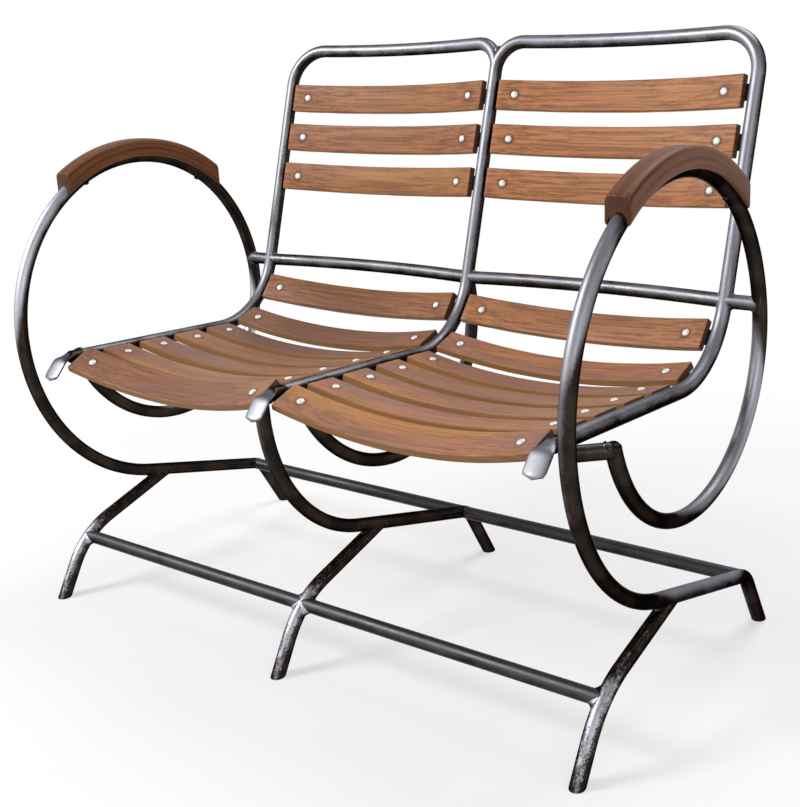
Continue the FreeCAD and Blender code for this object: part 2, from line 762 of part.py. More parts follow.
def over_paddle(name, path, first, last):
    """A block on the upper side of one straight part of a paddle, down to its lower face."""
    along = path.direction(path.places[first])
    out = along.cross(X_AXIS)
    middle = (path.point(path.places[first]) + path.point(path.places[last])) / 2
    corner = middle - along * (TRIM_BLOCK[1] / 2) - out * (SIZES["paddle_thickness"] / 2)
    turn = FreeCAD.Rotation(X_AXIS * -1, along, out)
    return block(name, TRIM_BLOCK, corner + X_AXIS * (TRIM_BLOCK[0] / 2), turn)


def build_frame_tubes(tubes):
    """All the plain tubes of the three frames, by node name."""
    paths = {}
    for name, side in (("left", -1), ("right", 1)):
        x = side * SIZES["hoop_offset"]
        paths[name], tubes[f"{name}_hoop_lower"], tubes[f"{name}_hoop_upper"] = hoop_tubes(name, x)
        tubes[f"{name}_front_leg"] = front_leg_tube(f"{name}_leg", x)
        for part in ("front", "rear"):
            start = V(x, SIZES[f"{part}_stretcher_y"], SIZES[f"{part}_stretcher_z"])
            label = f"{name}_{part}_stretcher"
            tubes[label] = straight_tube(label, start, V(0, start.y, start.z))
        seat_side = V(side * SIZES["seat_offset"], SIZES["rail_y"], SIZES["rail_z"])
        tubes[f"{name}_rear_rail"] = bowed_rail_tube(f"{name}_rear_rail", side)
        on_hoop = V(x, seat_side.y, seat_side.z)
        tubes[f"{name}_rail_stub"] = straight_tube(f"{name}_rail_stub", on_hoop, seat_side)
        outer_end = V(x, SIZES["link_outer_y"], SIZES["link_outer_z"])
        inner_end = V(seat_side.x, SIZES["link_inner_y"], SIZES["link_inner_z"])
        tubes[f"{name}_seat_link"] = straight_tube(f"{name}_seat_link", outer_end, inner_end)
    tubes["middle_frame_lower"], tubes["middle_frame_upper"] = middle_tubes()
    tubes["middle_front_leg"] = front_leg_tube("middle_leg", 0)
    tubes["middle_rear_spring"] = middle_spring_tube()
    return paths


def copes(side):
    """The tubes that each tube of one side is cut to fit against."""
    hoop, seat = f"{side}_hoop", f"{side}_seat_frame"
    return {
        f"{side}_front_leg": [f"{hoop}_lower"],
        f"{side}_front_stretcher": [f"{side}_front_leg", "middle_front_leg"],
        f"{side}_rear_stretcher": [f"{hoop}_lower", "middle_frame_lower"],
        f"{side}_rear_rail": [seat, "right_seat_frame"],
        f"{side}_rail_stub": [f"{hoop}_upper", seat],
        f"{side}_seat_link": [f"{hoop}_upper", seat],
    }


def build():
    fill_sheet()
    length, width, depth = FLOOR_BLOCK
    floor = block("floor", FLOOR_BLOCK, V(-length / 2, -width / 2, -depth))
    tubes = {}
    hoop_paths = build_frame_tubes(tubes)
    seat_x = SIZES["seat_offset"]
    left_path, left_ends, tubes["left_seat_frame"] = seat_frame_tube("left_seat", -1, False)
    right_path, right_ends, tubes["right_seat_frame"] = seat_frame_tube("right_seat", 1, True)
    paddle_path, middle_paddle = paddle("middle_paddle", 0, right_ends[1])
    paddles = {"left": paddle("left_paddle", -seat_x, left_ends[0])[1],
               "right": paddle("right_paddle", seat_x, right_ends[0])[1] + middle_paddle}

    fitted_to = {"middle_front_leg": ["middle_frame_lower"], "left_seat_frame": ["right_seat_frame"],
                 "middle_rear_spring": ["right_seat_frame", "left_rear_rail", "right_rear_rail"]}
    fitted_to.update(copes("left"))
    fitted_to.update(copes("right"))
    tools = {name: [tubes[other].bar for other in others] for name, others in fitted_to.items()}
    neck, blade = over_paddle("over_neck", paddle_path, 0, 1), over_paddle("over_blade", paddle_path, 2, 3)
    tools["middle_frame_upper"] = [neck, blade] + middle_paddle
    for side, x in (("left", -SIZES["hoop_offset"]), ("right", SIZES["hoop_offset"])):
        tools[f"{side}_seat_link"] += paddles[side]
        screws = build_armrest(side, x, hoop_paths[side], tubes[f"{side}_hoop_upper"].bar)
        tools[f"{side}_hoop_upper"] = screws
        node(group(f"{side}_screw_set", screws), f"{side}_armrest_screws")
    for name, tube in tubes.items():
        if name.endswith(("_leg", "_lower")):
            tools.setdefault(name, []).append(floor)
        piece = cut(tube.bar, tube.bore, *tools.get(name, []))
        if name.endswith("seat_frame"):
            piece = fuse(piece, *paddles[name.split("_")[0]])
        node(piece, name)
    frames = [tubes[f"{side}_seat_frame"].bar for side in ("left", "right")]
    frames += paddles["left"] + paddles["right"]
    build_seat("left", left_path, -seat_x / 2, frames)
    build_seat("right", right_path, seat_x / 2, frames)


def check_and_write():
    """Every object recomputed and every piece valid, before anything is written."""
    doc.recompute()
    for thing in doc.Objects:
        if "Invalid" in thing.State or "Error" in thing.State:
            raise RuntimeError(f"{thing.Name} failed: {thing.State}")
    os.makedirs("parts", exist_ok=True)
    for piece in nodes:
        if piece.Shape.isNull() or not piece.Shape.isValid():
            raise RuntimeError(f"{piece.Label} has no valid shape")
        print(piece.Label, len(piece.Shape.Solids), round(piece.Shape.Volume))
    for piece in nodes:
        piece.Shape.exportStep(f"parts/{piece.Label}.step")


build()
check_and_write()
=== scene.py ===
import math

import bmesh
import bpy
import numpy as np
from mathutils import Matrix, Vector, noise


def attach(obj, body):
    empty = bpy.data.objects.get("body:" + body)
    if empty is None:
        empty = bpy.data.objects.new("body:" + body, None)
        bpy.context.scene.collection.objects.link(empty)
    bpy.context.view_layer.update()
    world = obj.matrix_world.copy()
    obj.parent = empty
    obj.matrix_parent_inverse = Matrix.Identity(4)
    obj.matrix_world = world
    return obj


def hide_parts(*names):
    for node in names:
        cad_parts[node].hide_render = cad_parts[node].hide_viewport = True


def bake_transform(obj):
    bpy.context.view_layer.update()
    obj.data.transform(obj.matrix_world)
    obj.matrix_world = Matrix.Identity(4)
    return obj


bl_info = {
    "name": "Spring Glider Bench",
    "version": (1, 0, 0),
    "blender": (4, 5, 0),
    "location": "3D View > Sidebar > Glider Bench",
    "description": "Builds a two-seat spring glider bench of bent tube with wooden slats",
    "category": "Object",
}

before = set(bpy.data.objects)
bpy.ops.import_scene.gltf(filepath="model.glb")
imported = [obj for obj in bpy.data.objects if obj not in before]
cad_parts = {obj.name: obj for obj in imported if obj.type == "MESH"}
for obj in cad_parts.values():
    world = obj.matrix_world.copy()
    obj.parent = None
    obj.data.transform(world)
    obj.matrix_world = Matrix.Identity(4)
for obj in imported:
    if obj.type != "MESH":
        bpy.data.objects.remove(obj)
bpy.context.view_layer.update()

X_AXIS, Y_AXIS, Z_AXIS = Vector((1, 0, 0)), Vector((0, 1, 0)), Vector((0, 0, 1))
SIDES = (("left", -1), ("right", 1))
RING_SPACING = 0.005
RING_POINTS = 28
WELD_POINTS = 56
# Run of a slanting foot whose square rings would cut into its level end
FOOT_CUT = 0.013
# Rounding at the closed end of a hoop or a link
SOFT_END = 0.003
# Gap between a hoop's tube and its armrest's groove
GROOVE_PLAY = 0.0004
BENCH_MIDDLE = Vector((0, 0, 0.45))
WHITE = (1.0, 1.0, 1.0)


def length(name, default, about):
    return bpy.props.FloatProperty(name=name, default=default, description=about, unit="LENGTH", precision=4)


def angle(name, degrees, about):
    return bpy.props.FloatProperty(name=name, default=math.radians(degrees), description=about,
                                   subtype="ANGLE", unit="ROTATION")


def color(name, default, about):
    return bpy.props.FloatVectorProperty(name=name, default=default, description=about,
                                         subtype="COLOR", size=3, min=0, max=1)


def number(name, default, about):
    return bpy.props.FloatProperty(name=name, default=default, description=about)


def depth_height(name, default, about):
    return bpy.props.FloatVectorProperty(name=name, default=default, size=2, unit="LENGTH",
                                         description=f"Depth and height of {about}")


class BenchTubeSizes(bpy.types.PropertyGroup):
    diameter: length("Tube diameter", 0.022, "Outside diameter of every tube")
    wall: length("Tube wall", 0.002, "Wall of every tube, seen at its open ends")
    hoop_offset: length("Hoop offset", 0.523, "From the middle of the bench to a side hoop")
    seat_offset: length("Seat offset", 0.470, "From the middle of the bench to the outer side of a seat")
    weld_size: length("Weld size", 0.0045, "Radius of the fillet that a weld leaves between two tubes")
    stretcher_weld_size: length("Stretcher weld size", 0.011, "Radius of the fillet at a stretcher's ends")
    link_weld_size: length("Link weld size", 0.003, "Radius of the fillet between a hoop and its seat link")


class BenchHoopSizes(bpy.types.PropertyGroup):
    rear_foot: length("Rear foot", 0.240, "How far the rear feet stand behind the middle of the bench")
    rear_leg_lean: angle("Rear leg lean", 31.5, "Lean of the rear legs from upright")
    rear_leg_length: length("Rear leg length", 0.099, "Straight run of a rear leg")
    rear_bend: length("Rear bend", 0.042, "Radius of the bend over a rear leg")
    rail_rise: angle("Rail rise", 14.4, "Rise of the bottom rail towards the front")
    rail_length: length("Rail length", 0.279, "Straight run of the bottom rail")
    front_radius: length("Front radius", 0.309, "Radius of the spring at the front")
    front_sweep: angle("Front sweep", 73.6, "Turn of the spring at the front")
    top_radius: length("Top radius", 0.274, "Radius of the hoop over the armrest")
    top_sweep: angle("Top sweep", 171.5, "Turn of the hoop over the armrest")
    curl_rear_radius: length("Curl rear radius", 0.2135, "Radius of the curl behind the seat")
    curl_rear_sweep: angle("Curl rear sweep", 86, "Turn of the curl behind the seat")
    curl_front_radius: length("Curl front radius", 0.233, "Radius of the curl under the seat")
    curl_front_sweep: angle("Curl front sweep", 87.3, "Turn of the curl under the seat")
    flex_sweep: angle("Flex place", 31, "Turn of the front spring before the place that bends")
    flex_half_length: length("Flex half length", 0.070, "How far the bending spreads to each side")


class BenchMiddleSizes(bpy.types.PropertyGroup):
    rail_length: length("Middle rail length", 0.292, "Straight run of the middle bottom rail")
    front_radius: length("Middle front radius", 0.255, "Radius of the middle spring at the front")
    front_sweep: angle("Middle front sweep", 78.2, "Turn of the middle spring at the front")
    flex_sweep: angle("Middle flex place", 34.6, "Turn of the middle spring before the place that bends")
    front_reach: length("Middle front reach", 0.008, "Straight end of the middle spring under the seat")
    rear_spring_height: length("Rear spring height", 0.521, "Height at which the rear spring leaves the rail")
    rear_spring_lean: angle("Rear spring lean", 16.7, "Lean of the rear spring where it leaves the rail")
    rear_spring_rear_radius: length("Rear spring rear radius", 0.199, "Radius of its rear half")
    rear_spring_rear_sweep: angle("Rear spring rear sweep", 88, "Turn of its rear half")
    rear_spring_front_radius: length("Rear spring front radius", 0.248, "Radius of its front half")
    rear_spring_front_sweep: angle("Rear spring front sweep", 88.5, "Turn of its front half")
    rear_spring_reach: length("Rear spring reach", 0.006, "Straight end of the rear spring under the seat")


class BenchLegSizes(bpy.types.PropertyGroup):
    front_foot: length("Front foot", -0.326, "Where the front feet stand, ahead of the middle")
    front_lean: angle("Front leg lean", 30.7, "Lean of the front legs from upright")
    front_length: length("Front leg length", 0.059, "Straight run of a front leg")
    front_bend: length("Front bend", 0.150, "Radius of the bend in a front leg")
    front_bend_sweep: angle("Front bend sweep", 42.2, "Turn of a front leg")
    front_reach: length("Front leg reach", 0.1498, "Run of a front leg up to the rail")
    front_stretcher: depth_height("Front stretcher", (-0.258, 0.0933), "the stretchers at the front legs")
    rear_stretcher: depth_height("Rear stretcher", (0.163, 0.103), "the stretchers at the bottom rails")


class BenchSeatSizes(bpy.types.PropertyGroup):
    front: depth_height("Seat front", (-0.287, 0.4365), "the front end of a seat tube")
    slope: angle("Seat slope", 3.15, "Fall of the seat towards the back")
    depth: length("Seat depth", 0.343, "Straight run of a seat tube")
    bend_radius: length("Seat bend radius", 0.145, "Radius of the bend between seat and back")
    bend_sweep: angle("Seat bend sweep", 76.2, "Turn between seat and back")
    upright: length("Upright length", 0.338, "Straight run of the back up to its outer corner")
    outer_corner: length("Outer corner", 0.066, "Radius of the outer top corner")
    inner_corner: length("Inner corner", 0.048, "Radius of the inner top corner")
    outer_bow: angle("Outer bow", 8, "Bow of the top rail at its outer end")
    inner_bow: angle("Inner bow", 8.64, "Bow of the top rail at its inner end")
    crown_sweep: angle("Crown sweep", 88, "Turn of the left seat's inner corner, into the right seat's tube")
    rail: depth_height("Rear rail", (0.203, 0.521), "the rear rail at its ends")
    rail_bow: angle("Rear rail bow", 9.73, "Bow of the rear rail at its ends")
    link_outer: depth_height("Link outer end", (-0.2305, 0.4227), "the seat link at the hoop")
    link_inner: depth_height("Link inner end", (-0.272, 0.4195), "the seat link under the seat")
    paddle_neck: length("Paddle neck", 0.012, "Run over which a seat tube's front end flattens")
    paddle_radius: length("Paddle radius", 0.016, "Radius of the bend in a flattened end")
    paddle_drop: angle("Paddle drop", 50, "Turn of a flattened end towards the floor")
    paddle_blade: length("Paddle blade", 0.034, "Run of the flat blade, its round tip counted in")
    paddle_width: length("Paddle width", 0.034, "Width of a flattened end")
    paddle_thickness: length("Paddle thickness", 0.0055, "Thickness of a flattened end")


class BenchSlatSizes(bpy.types.PropertyGroup):
    thickness: length("Slat thickness", 0.012, "Thickness of a slat")
    edge_radius: length("Slat edge radius", 0.0022, "Rounding of a slat's long edges")
    end_gap: length("Slat end gap", 0.016, "From a seat tube's middle to a slat's end")
    front_width: length("Front slat width", 0.055, "Width of the front slat")
    front_sag: length("Front slat sag", 0.034, "How far the front slat bows away from its ends")
    front_lift: length("Front slat lift", -0.002, "How far its ends stand in front of the tube's middle")
    left_front_tilt: angle("Left front slat tilt", 29, "Forward tilt of the left front slat")
    right_front_tilt: angle("Right front slat tilt", 22, "Forward tilt of the right front slat")
    seat_width: length("Seat slat width", 0.057, "Width of the other seat slats")
    seat_sag: length("Seat slat sag", 0.024, "How far a seat slat bows away from its ends")
    seat_lift: length("Seat slat lift", 0.002, "How far its ends stand in front of the tube's middle")
    seat_start: length("Seat slat start", 0.004, "Place of the front slat, along the tube")
    seat_pitch: length("Seat slat pitch", 0.079, "Distance between the seat slats")
    back_width: length("Back slat width", 0.050, "Width of a back slat")
    back_sag: length("Back slat sag", 0.024, "How far a back slat bows away from its ends")
    back_lift: length("Back slat lift", 0.005, "How far its ends stand in front of the tube's middle")
    bend_place: length("Bend slat place", 0.398, "Place of the slat in the bend, along the tube")
    lower_back_place: length("Lower back slat place", 0.480, "Place of the lowest back slat, along the tube")
    upper_back_place: length("Upper back slat place", 0.699, "Place of the third slat from the top")
    back_pitch: length("Back slat pitch", 0.0745, "Distance between the upper back slats")
    rivet_inset: length("Rivet inset", 0.031, "From a slat's end to its rivet")
    rivet_diameter: length("Rivet diameter", 0.012, "Diameter of a rivet's domed head")
    rivet_height: length("Rivet height", 0.0032, "Height of a rivet's domed head")
    tab_width: length("Tab width", 0.025, "Width of the steel tab behind a slat's end")
    tab_thickness: length("Tab thickness", 0.004, "Thickness of a tab")
    tab_past_rivet: length("Tab past rivet", 0.014, "How far a tab runs past its rivet")
    tab_into_tube: length("Tab into tube", 0.043, "How far a tab runs from its rivet into the tube")


class BenchArmrestSizes(bpy.types.PropertyGroup):
    width: length("Armrest width", 0.035, "Width of an armrest")
    height: length("Armrest height", 0.030, "Height of an armrest above the tube's middle")
    edge_radius: length("Armrest edge radius", 0.007, "Rounding of an armrest's edges")
    front_end: length("Armrest front end", -0.220, "Where its upright front end stands")
    rear_end: length("Armrest rear end", 0.120, "Where its upright rear end stands")
    front_screw: angle("Front screw place", 114, "Place of the front screw, round the hoop's top arc")
    rear_screw: angle("Rear screw place", 57, "Place of the rear screw, round the hoop's top arc")
    screw_head: length("Armrest screw head", 0.009, "Diameter of a screw head under the armrest")
    groove_opening: number("Groove opening", 0.22, "How much wider the groove is at its ends, as a share")
    groove_opening_run: number("Groove opening run", 0.05, "Share of the armrest over which its groove opens")


class BenchFinish(bpy.types.PropertyGroup):
    # Dark steel also stands for the painted shade on the sides that turn away from the highlight direction.
    steel_dark: color("Dark steel", (0.020, 0.016, 0.014), "Blackened steel in the sheltered places")
    # Rubbed steel is also the colour of the painted highlight.
    steel_bright: color("Rubbed steel", (0.28, 0.28, 0.31), "Steel that is rubbed bright")
    steel_brown: color("Brown steel", (0.038, 0.028, 0.022), "Brown bloom on the blackened steel")
    rivet: color("Rivet metal", (0.95, 0.94, 0.94), "Bright rivet heads")
    oak_light: color("Light oak", (0.42, 0.175, 0.070), "Pale bands of the slats' grain")
    oak_dark: color("Dark oak", (0.215, 0.083, 0.034), "Dark bands of the slats' grain")
    oak_gold: color("Golden oak", (0.46, 0.215, 0.060), "Golden streaks of the slats' grain")
    # Painted sheen: the grey of the bright room reflected in the slats' upward faces.
    oak_worn: color("Worn oak", (0.215, 0.125, 0.105), "Greyed oak of the faces that are sat on")
    # Painted highlight on the slats' long edges.
    oak_edge: color("Oak edges", (0.21, 0.105, 0.030), "Golden brown of the slats' long edges")
    arm_light: color("Light armrest wood", (0.20, 0.070, 0.023), "Pale bands of the armrests' grain")
    arm_dark: color("Dark armrest wood", (0.085, 0.026, 0.009), "Dark bands of the armrests' grain")
    # Painted sheen on the armrests' upward faces.
    arm_sheen: color("Armrest wood sheen", (0.155, 0.070, 0.042), "Greyed wood on top of the armrests")
    left_paleness: number("Left paleness", 0.92, "How pale the left seat's oak is")
    right_paleness: number("Right paleness", 1.20, "How pale the right seat's oak is")
    pore: color("Wood pores", (0.05, 0.020, 0.010), "Open pores and end grain of the wood")


class BenchStage(bpy.types.PropertyGroup):
    floor: color("Floor", (0.90, 0.90, 0.90), "Plain pale floor")
    floor_near: length("Near floor", 0.60, "Radius round the bench where the floor shows its shadow in full")
    floor_far: length("Far floor", 1.7, "Radius beyond which the floor is plain white to the camera")
    floor_radius: length("Floor radius", 9.0, "Size of the round floor and its raised rim")
    camera_place: bpy.props.FloatVectorProperty(
        name="Camera place", default=(1.2335, -1.5080, 0.9191), size=3, subtype="XYZ", unit="LENGTH",
        description="Where the camera stands")
    camera_yaw: angle("Camera yaw", 39.17, "Turn of the camera round the upright axis")
    camera_pitch: angle("Camera pitch", 16.23, "How far the camera looks down")
    camera_roll: angle("Camera roll", -2.99, "Roll of the camera")
    camera_lens: number("Lens", 55.83, "Focal length in millimetres")
    camera_shift: bpy.props.FloatVectorProperty(
        name="Camera shift", default=(-0.00225, -0.0034), size=2,
        description="Shift of the picture, in its widths")
    key_power: number("Key lamp", 130, "Watts of the lamp in front")
    fill_power: number("Fill lamp", 20, "Watts of the lamp on the right")
    top_power: number("Top lamp", 55, "Watts of the lamp overhead")


SIZE_GROUPS = {
    "bench_tube": BenchTubeSizes,
    "bench_hoop": BenchHoopSizes,
    "bench_middle": BenchMiddleSizes,
    "bench_leg": BenchLegSizes,
    "bench_seat": BenchSeatSizes,
    "bench_slat": BenchSlatSizes,
    "bench_armrest": BenchArmrestSizes,
    "bench_finish": BenchFinish,
    "bench_stage": BenchStage,
}


def sizes(name):
    return getattr(bpy.context.scene, f"bench_{name}")


class Route:
    """A centre line of straight runs and bends, as closely spaced stations with their directions."""

    def __init__(self, start, direction, across=X_AXIS):
        self.points = [Vector(start)]
        self.directions = [Vector(direction).normalized()]
        self.acrosses = [Vector(across).normalized()]
        self.corners = [0]

    def add(self, point, direction, across):
        self.points.append(point)
        self.directions.append(direction)
        self.acrosses.append(across)

    def line(self, run):
        start, direction, across = self.points[-1], self.directions[-1], self.acrosses[-1]
        steps = max(1, round(run / RING_SPACING))
        for step in range(1, steps + 1):
            self.add(start + direction * (run * step / steps), direction, across)
        self.corners.append(len(self.points) - 1)
        return self

    def bend(self, radius, turn, axis=X_AXIS):
        """Turns by an angle about an axis, by the right hand."""
        start, direction, across = self.points[-1], self.directions[-1], self.acrosses[-1]
        centre = start + axis.cross(direction) * math.copysign(radius, turn)
        steps = max(3, round(abs(turn) * radius / RING_SPACING))
        for step in range(1, steps + 1):
            spin = Matrix.Rotation(turn * step / steps, 3, axis)
            self.add(centre + spin @ (start - centre), spin @ direction, spin @ across)
        self.corners.append(len(self.points) - 1)
        return self

    def part(self, first, last=None):
        """A stretch of this route between two of its corners."""
        begin = self.corners[first]
        end = self.corners[last] if last is not None else len(self.points) - 1
        piece = Route(self.points[begin], self.directions[begin], self.acrosses[begin])
        piece.points = self.points[begin:end + 1]
        piece.directions = self.directions[begin:end + 1]
        piece.acrosses = self.acrosses[begin:end + 1]
        return piece

    def reverse(self):
        self.points.reverse()
        self.acrosses.reverse()
        self.directions = [-direction for direction in reversed(self.directions)]
        self.corners = [len(self.points) - 1 - corner for corner in reversed(self.corners)]
        return self

    def distances(self):
        total, result = 0.0, [0.0]
        for before, after in zip(self.points, self.points[1:]):
            total += (after - before).length
            result.append(total)
        return result

    def at(self, distance):
        """Point and direction at a distance along the route."""
        places = self.distances()
        for index, (before, after) in enumerate(zip(places, places[1:])):
            if before <= distance <= after:
                share = (distance - before) / (after - before)
                way = self.directions[index].lerp(self.directions[index + 1], share)
                return self.points[index].lerp(self.points[index + 1], share), way.normalized()
        raise ValueError("the route is shorter than the distance asked for")

    def nearest(self, point):
        """Distance from the centre line, and the nearest point on it."""
        if not hasattr(self, "begins"):
            line = np.array([tuple(p) for p in self.points])
            self.begins, self.spans = line[:-1], line[1:] - line[:-1]
            self.span_squares = (self.spans ** 2).sum(1)
        offset = np.array(point) - self.begins
        share = np.clip((offset * self.spans).sum(1) / self.span_squares, 0, 1)
        feet = self.begins + self.spans * share[:, None]
        gaps = np.linalg.norm(np.array(point) - feet, axis=1)
        index = int(gaps.argmin())
        return float(gaps[index]), Vector(feet[index])


def heading(turn):
    """Direction in the side plane, by its angle above the way to the back."""
    return Vector((0, math.cos(turn), math.sin(turn)))


def rear_foot_route(x):
    """Rear leg and its bend, with which all three frames start."""
    hoop = sizes("hoop")
    route = Route((x, hoop.rear_foot, 0), heading(hoop.rear_leg_lean + math.pi / 2))
    route.line(hoop.rear_leg_length)
    route.bend(hoop.rear_bend, math.pi / 2 - hoop.rear_leg_lean - hoop.rail_rise)
    return route


def side_hoop_route(x):
    hoop = sizes("hoop")
    route = rear_foot_route(x)
    route.line(hoop.rail_length)
    route.bend(hoop.front_radius, -hoop.front_sweep)
    route.bend(hoop.top_radius, -hoop.top_sweep)
    route.bend(hoop.curl_rear_radius, -hoop.curl_rear_sweep)
    return route.bend(hoop.curl_front_radius, -hoop.curl_front_sweep)


def middle_front_route():
    middle = sizes("middle")
    route = rear_foot_route(0)
    route.line(middle.rail_length)
    route.bend(middle.front_radius, -middle.front_sweep)
    return route.line(middle.front_reach)


def middle_rear_route():
    middle, seat = sizes("middle"), sizes("seat")
    start = (0, seat.rail[0], middle.rear_spring_height)
    route = Route(start, heading(middle.rear_spring_lean - math.pi / 2))
    route.bend(middle.rear_spring_rear_radius, -middle.rear_spring_rear_sweep)
    route.bend(middle.rear_spring_front_radius, -middle.rear_spring_front_sweep)
    return route.line(middle.rear_spring_reach)


def front_leg_route(x):
    leg = sizes("leg")
    route = Route((x, leg.front_foot, 0), heading(math.pi / 2 - leg.front_lean))
    route.line(leg.front_length)
    route.bend(leg.front_bend, -leg.front_bend_sweep)
    return route.line(leg.front_reach)


def straight_route(start, end):
    start, end = Vector(start), Vector(end)
    way = (end - start).normalized()
    return Route(start, way, way.cross(Z_AXIS)).line((end - start).length)


def seat_side_route(x):
    """A seat tube from its front end back and up to the outer top corner."""
    seat = sizes("seat")
    route = Route((x, seat.front[0], seat.front[1]), heading(-seat.slope))
    route.line(seat.depth)
    route.bend(seat.bend_radius, seat.bend_sweep)
    return route.line(seat.upright)


def paddle_route(x):
    """The flattened front end of a seat tube, from its tip back to the plain tube."""
    seat = sizes("seat")
    route = Route((x, seat.front[0], seat.front[1]), heading(math.pi - seat.slope))
    route.line(seat.paddle_neck)
    route.bend(seat.paddle_radius, seat.paddle_drop)
    route.line(seat.paddle_blade)
    return route.reverse()


def joined(*routes):
    """One route out of several that follow each other."""
    whole = Route(routes[0].points[0], routes[0].directions[0], routes[0].acrosses[0])
    whole.points, whole.directions, whole.acrosses, whole.corners = [], [], [], []
    for route in routes:
        skip = 1 if whole.points else 0
        whole.corners += [corner + len(whole.points) - skip for corner in route.corners[skip:]]
        whole.points += route.points[skip:]
        whole.directions += route.directions[skip:]
        whole.acrosses += route.acrosses[skip:]
    return whole


def top_rail_radius():
    seat, tube = sizes("seat"), sizes("tube")
    span = tube.seat_offset - seat.outer_corner * math.cos(seat.outer_bow)
    span -= seat.inner_corner * math.cos(seat.inner_bow)
    mean, half = (seat.outer_bow + seat.inner_bow) / 2, (seat.outer_bow - seat.inner_bow) / 2
    return span / (2 * math.sin(mean) * math.cos(half))


def seat_frame_route(side):
    """One tube from the tip of its flat front end, up the outer side and over the back.

    The left seat's tube ends at the crown, and the right seat's goes down again to a second flat end.
    """
    seat, tube = sizes("seat"), sizes("tube")
    sign = dict(SIDES)[side]
    x = sign * tube.seat_offset
    outer = seat_side_route(x)
    route = joined(paddle_route(x), outer)
    up = outer.directions[-1]
    back = up.cross(X_AXIS)
    inward = X_AXIS * -sign
    along = inward * math.cos(seat.outer_bow) + back * math.sin(seat.outer_bow)
    route.bend(seat.outer_corner, math.pi / 2, up.cross(along))
    route.bend(top_rail_radius(), seat.outer_bow + seat.inner_bow, back.cross(inward))
    along = inward * math.cos(seat.inner_bow) - back * math.sin(seat.inner_bow)
    if side == "left":
        return route.bend(seat.inner_corner, seat.crown_sweep, along.cross(-up))
    route.bend(seat.inner_corner, math.pi / 2, along.cross(-up))
    route.line(seat.upright + seat.outer_corner - seat.inner_corner)
    route.bend(seat.bend_radius, -seat.bend_sweep, X_AXIS)
    route.line(seat.depth)
    paddle = paddle_route(route.points[-1].x).reverse()
    side_sign = 1 if route.acrosses[-1].dot(X_AXIS) > 0 else -1
    paddle.acrosses = [across * side_sign for across in paddle.acrosses]
    return joined(route, paddle)


def round_section(distance):
    radius = sizes("tube").diameter / 2
    return radius, radius


def smooth(share):
    share = min(max(share, 0.0), 1.0)
    return share * share * (3 - 2 * share)


def paddle_section(total, at_end):
    """Half width and half thickness of a tube whose start, and perhaps end, is flattened."""
    seat = sizes("seat")
    plain = sizes("tube").diameter / 2
    wide, thin = seat.paddle_width / 2, seat.paddle_thickness / 2
    blade = seat.paddle_blade + seat.paddle_radius * seat.paddle_drop
    flare_share, squareness, tip, narrowest, lip, lip_share = 0.7, 2.5, 0.013, 0.0004, 0.003, 0.4
    flare_start = blade * flare_share

    def half_sizes(distance):
        if at_end:
            distance = min(distance, total - distance)
        squash = 1 - smooth((distance - blade) / seat.paddle_neck)
        flare = 1 - smooth((distance - flare_start) / (blade + seat.paddle_neck - flare_start))
        width = plain + (wide - plain) * flare
        if distance < tip:
            width *= max(1 - (1 - distance / tip) ** squareness, narrowest) ** (1 / squareness)
        thickness = plain + (thin - plain) * squash
        return width, thickness * (lip_share + (1 - lip_share) * smooth(distance / lip))
    return half_sizes


def turns(count):
    """Evenly spaced angles, once round."""
    return [2 * math.pi * index / count for index in range(count)]


def arc(centre, radius, begin, sweep, steps):
    """Points along an arc of a flat circle, as pairs, with both of its ends."""
    angles = [begin + step / steps * sweep for step in range(steps + 1)]
    return [(centre[0] + radius * math.cos(turn), centre[1] + radius * math.sin(turn)) for turn in angles]


def ring_grid(route, section=round_section):
    """The tube's surface as rings of points, one ring for each station."""
    rings = []
    stations = zip(route.points, route.directions, route.acrosses, route.distances())
    for point, direction, across, distance in stations:
        through = direction.cross(across)
        wide, thin = section(distance)
        rings.append([point + across * (wide * math.cos(turn)) + through * (thin * math.sin(turn))
                      for turn in turns(RING_POINTS)])
    return rings


def level_ring(point, direction, across, radius, height):
    """A tube's section cut level, at a height above the floor."""
    through = direction.cross(across)
    ring = []
    for turn in turns(RING_POINTS):
        place = point + (across * math.cos(turn) + through * math.sin(turn)) * radius
        ring.append(place + direction * ((height - place.z) / direction.z))
    return ring


def mesh_piece(name, vertices, faces, material, coordinates=None):
    """A smooth mesh object, with the place of each point along and around its tube where it has one."""
    mesh = bpy.data.meshes.new(name)
    mesh.from_pydata([tuple(v) for v in vertices], [], faces)
    mesh.update()
    work = bmesh.new()
    work.from_mesh(mesh)
    bmesh.ops.recalc_face_normals(work, faces=work.faces)
    work.to_mesh(mesh)
    work.free()
    mesh.polygons.foreach_set("use_smooth", [True] * len(mesh.polygons))
    if coordinates:
        attribute = mesh.attributes.new("along_tube", "FLOAT_VECTOR", "POINT")
        attribute.data.foreach_set("vector", [value for place in coordinates for value in place])
    mesh.materials.append(material)
    piece = bpy.data.objects.new(name, mesh)
    bpy.context.collection.objects.link(piece)
    return piece


def bridge(rings, closed=False):
    """Quads between neighbouring rings of equal length."""
    faces = []
    count = len(rings[0])
    pairs = len(rings) if closed else len(rings) - 1
    for row in range(pairs):
        here, there = row * count, (row + 1) % len(rings) * count
        for index in range(count):
            after = (index + 1) % count
            faces.append((here + index, here + after, there + after, there + index))
    return faces


def add_shape(vertices, faces, rings):
    """Adds a shape of rings, closed at both ends, to a list of points and faces."""
    first, count = len(vertices), len(rings[0])
    vertices += [point for ring in rings for point in ring]
    faces += [tuple(first + index for index in face) for face in bridge(rings)]
    faces.append(tuple(range(first, first + count)))
    faces.append(tuple(range(len(vertices) - count, len(vertices))))


def closed_shape(rings):
    """Points and faces of one shape of rings, closed at both ends."""
    shape = ([], [])
    add_shape(*shape, rings)
    return shape


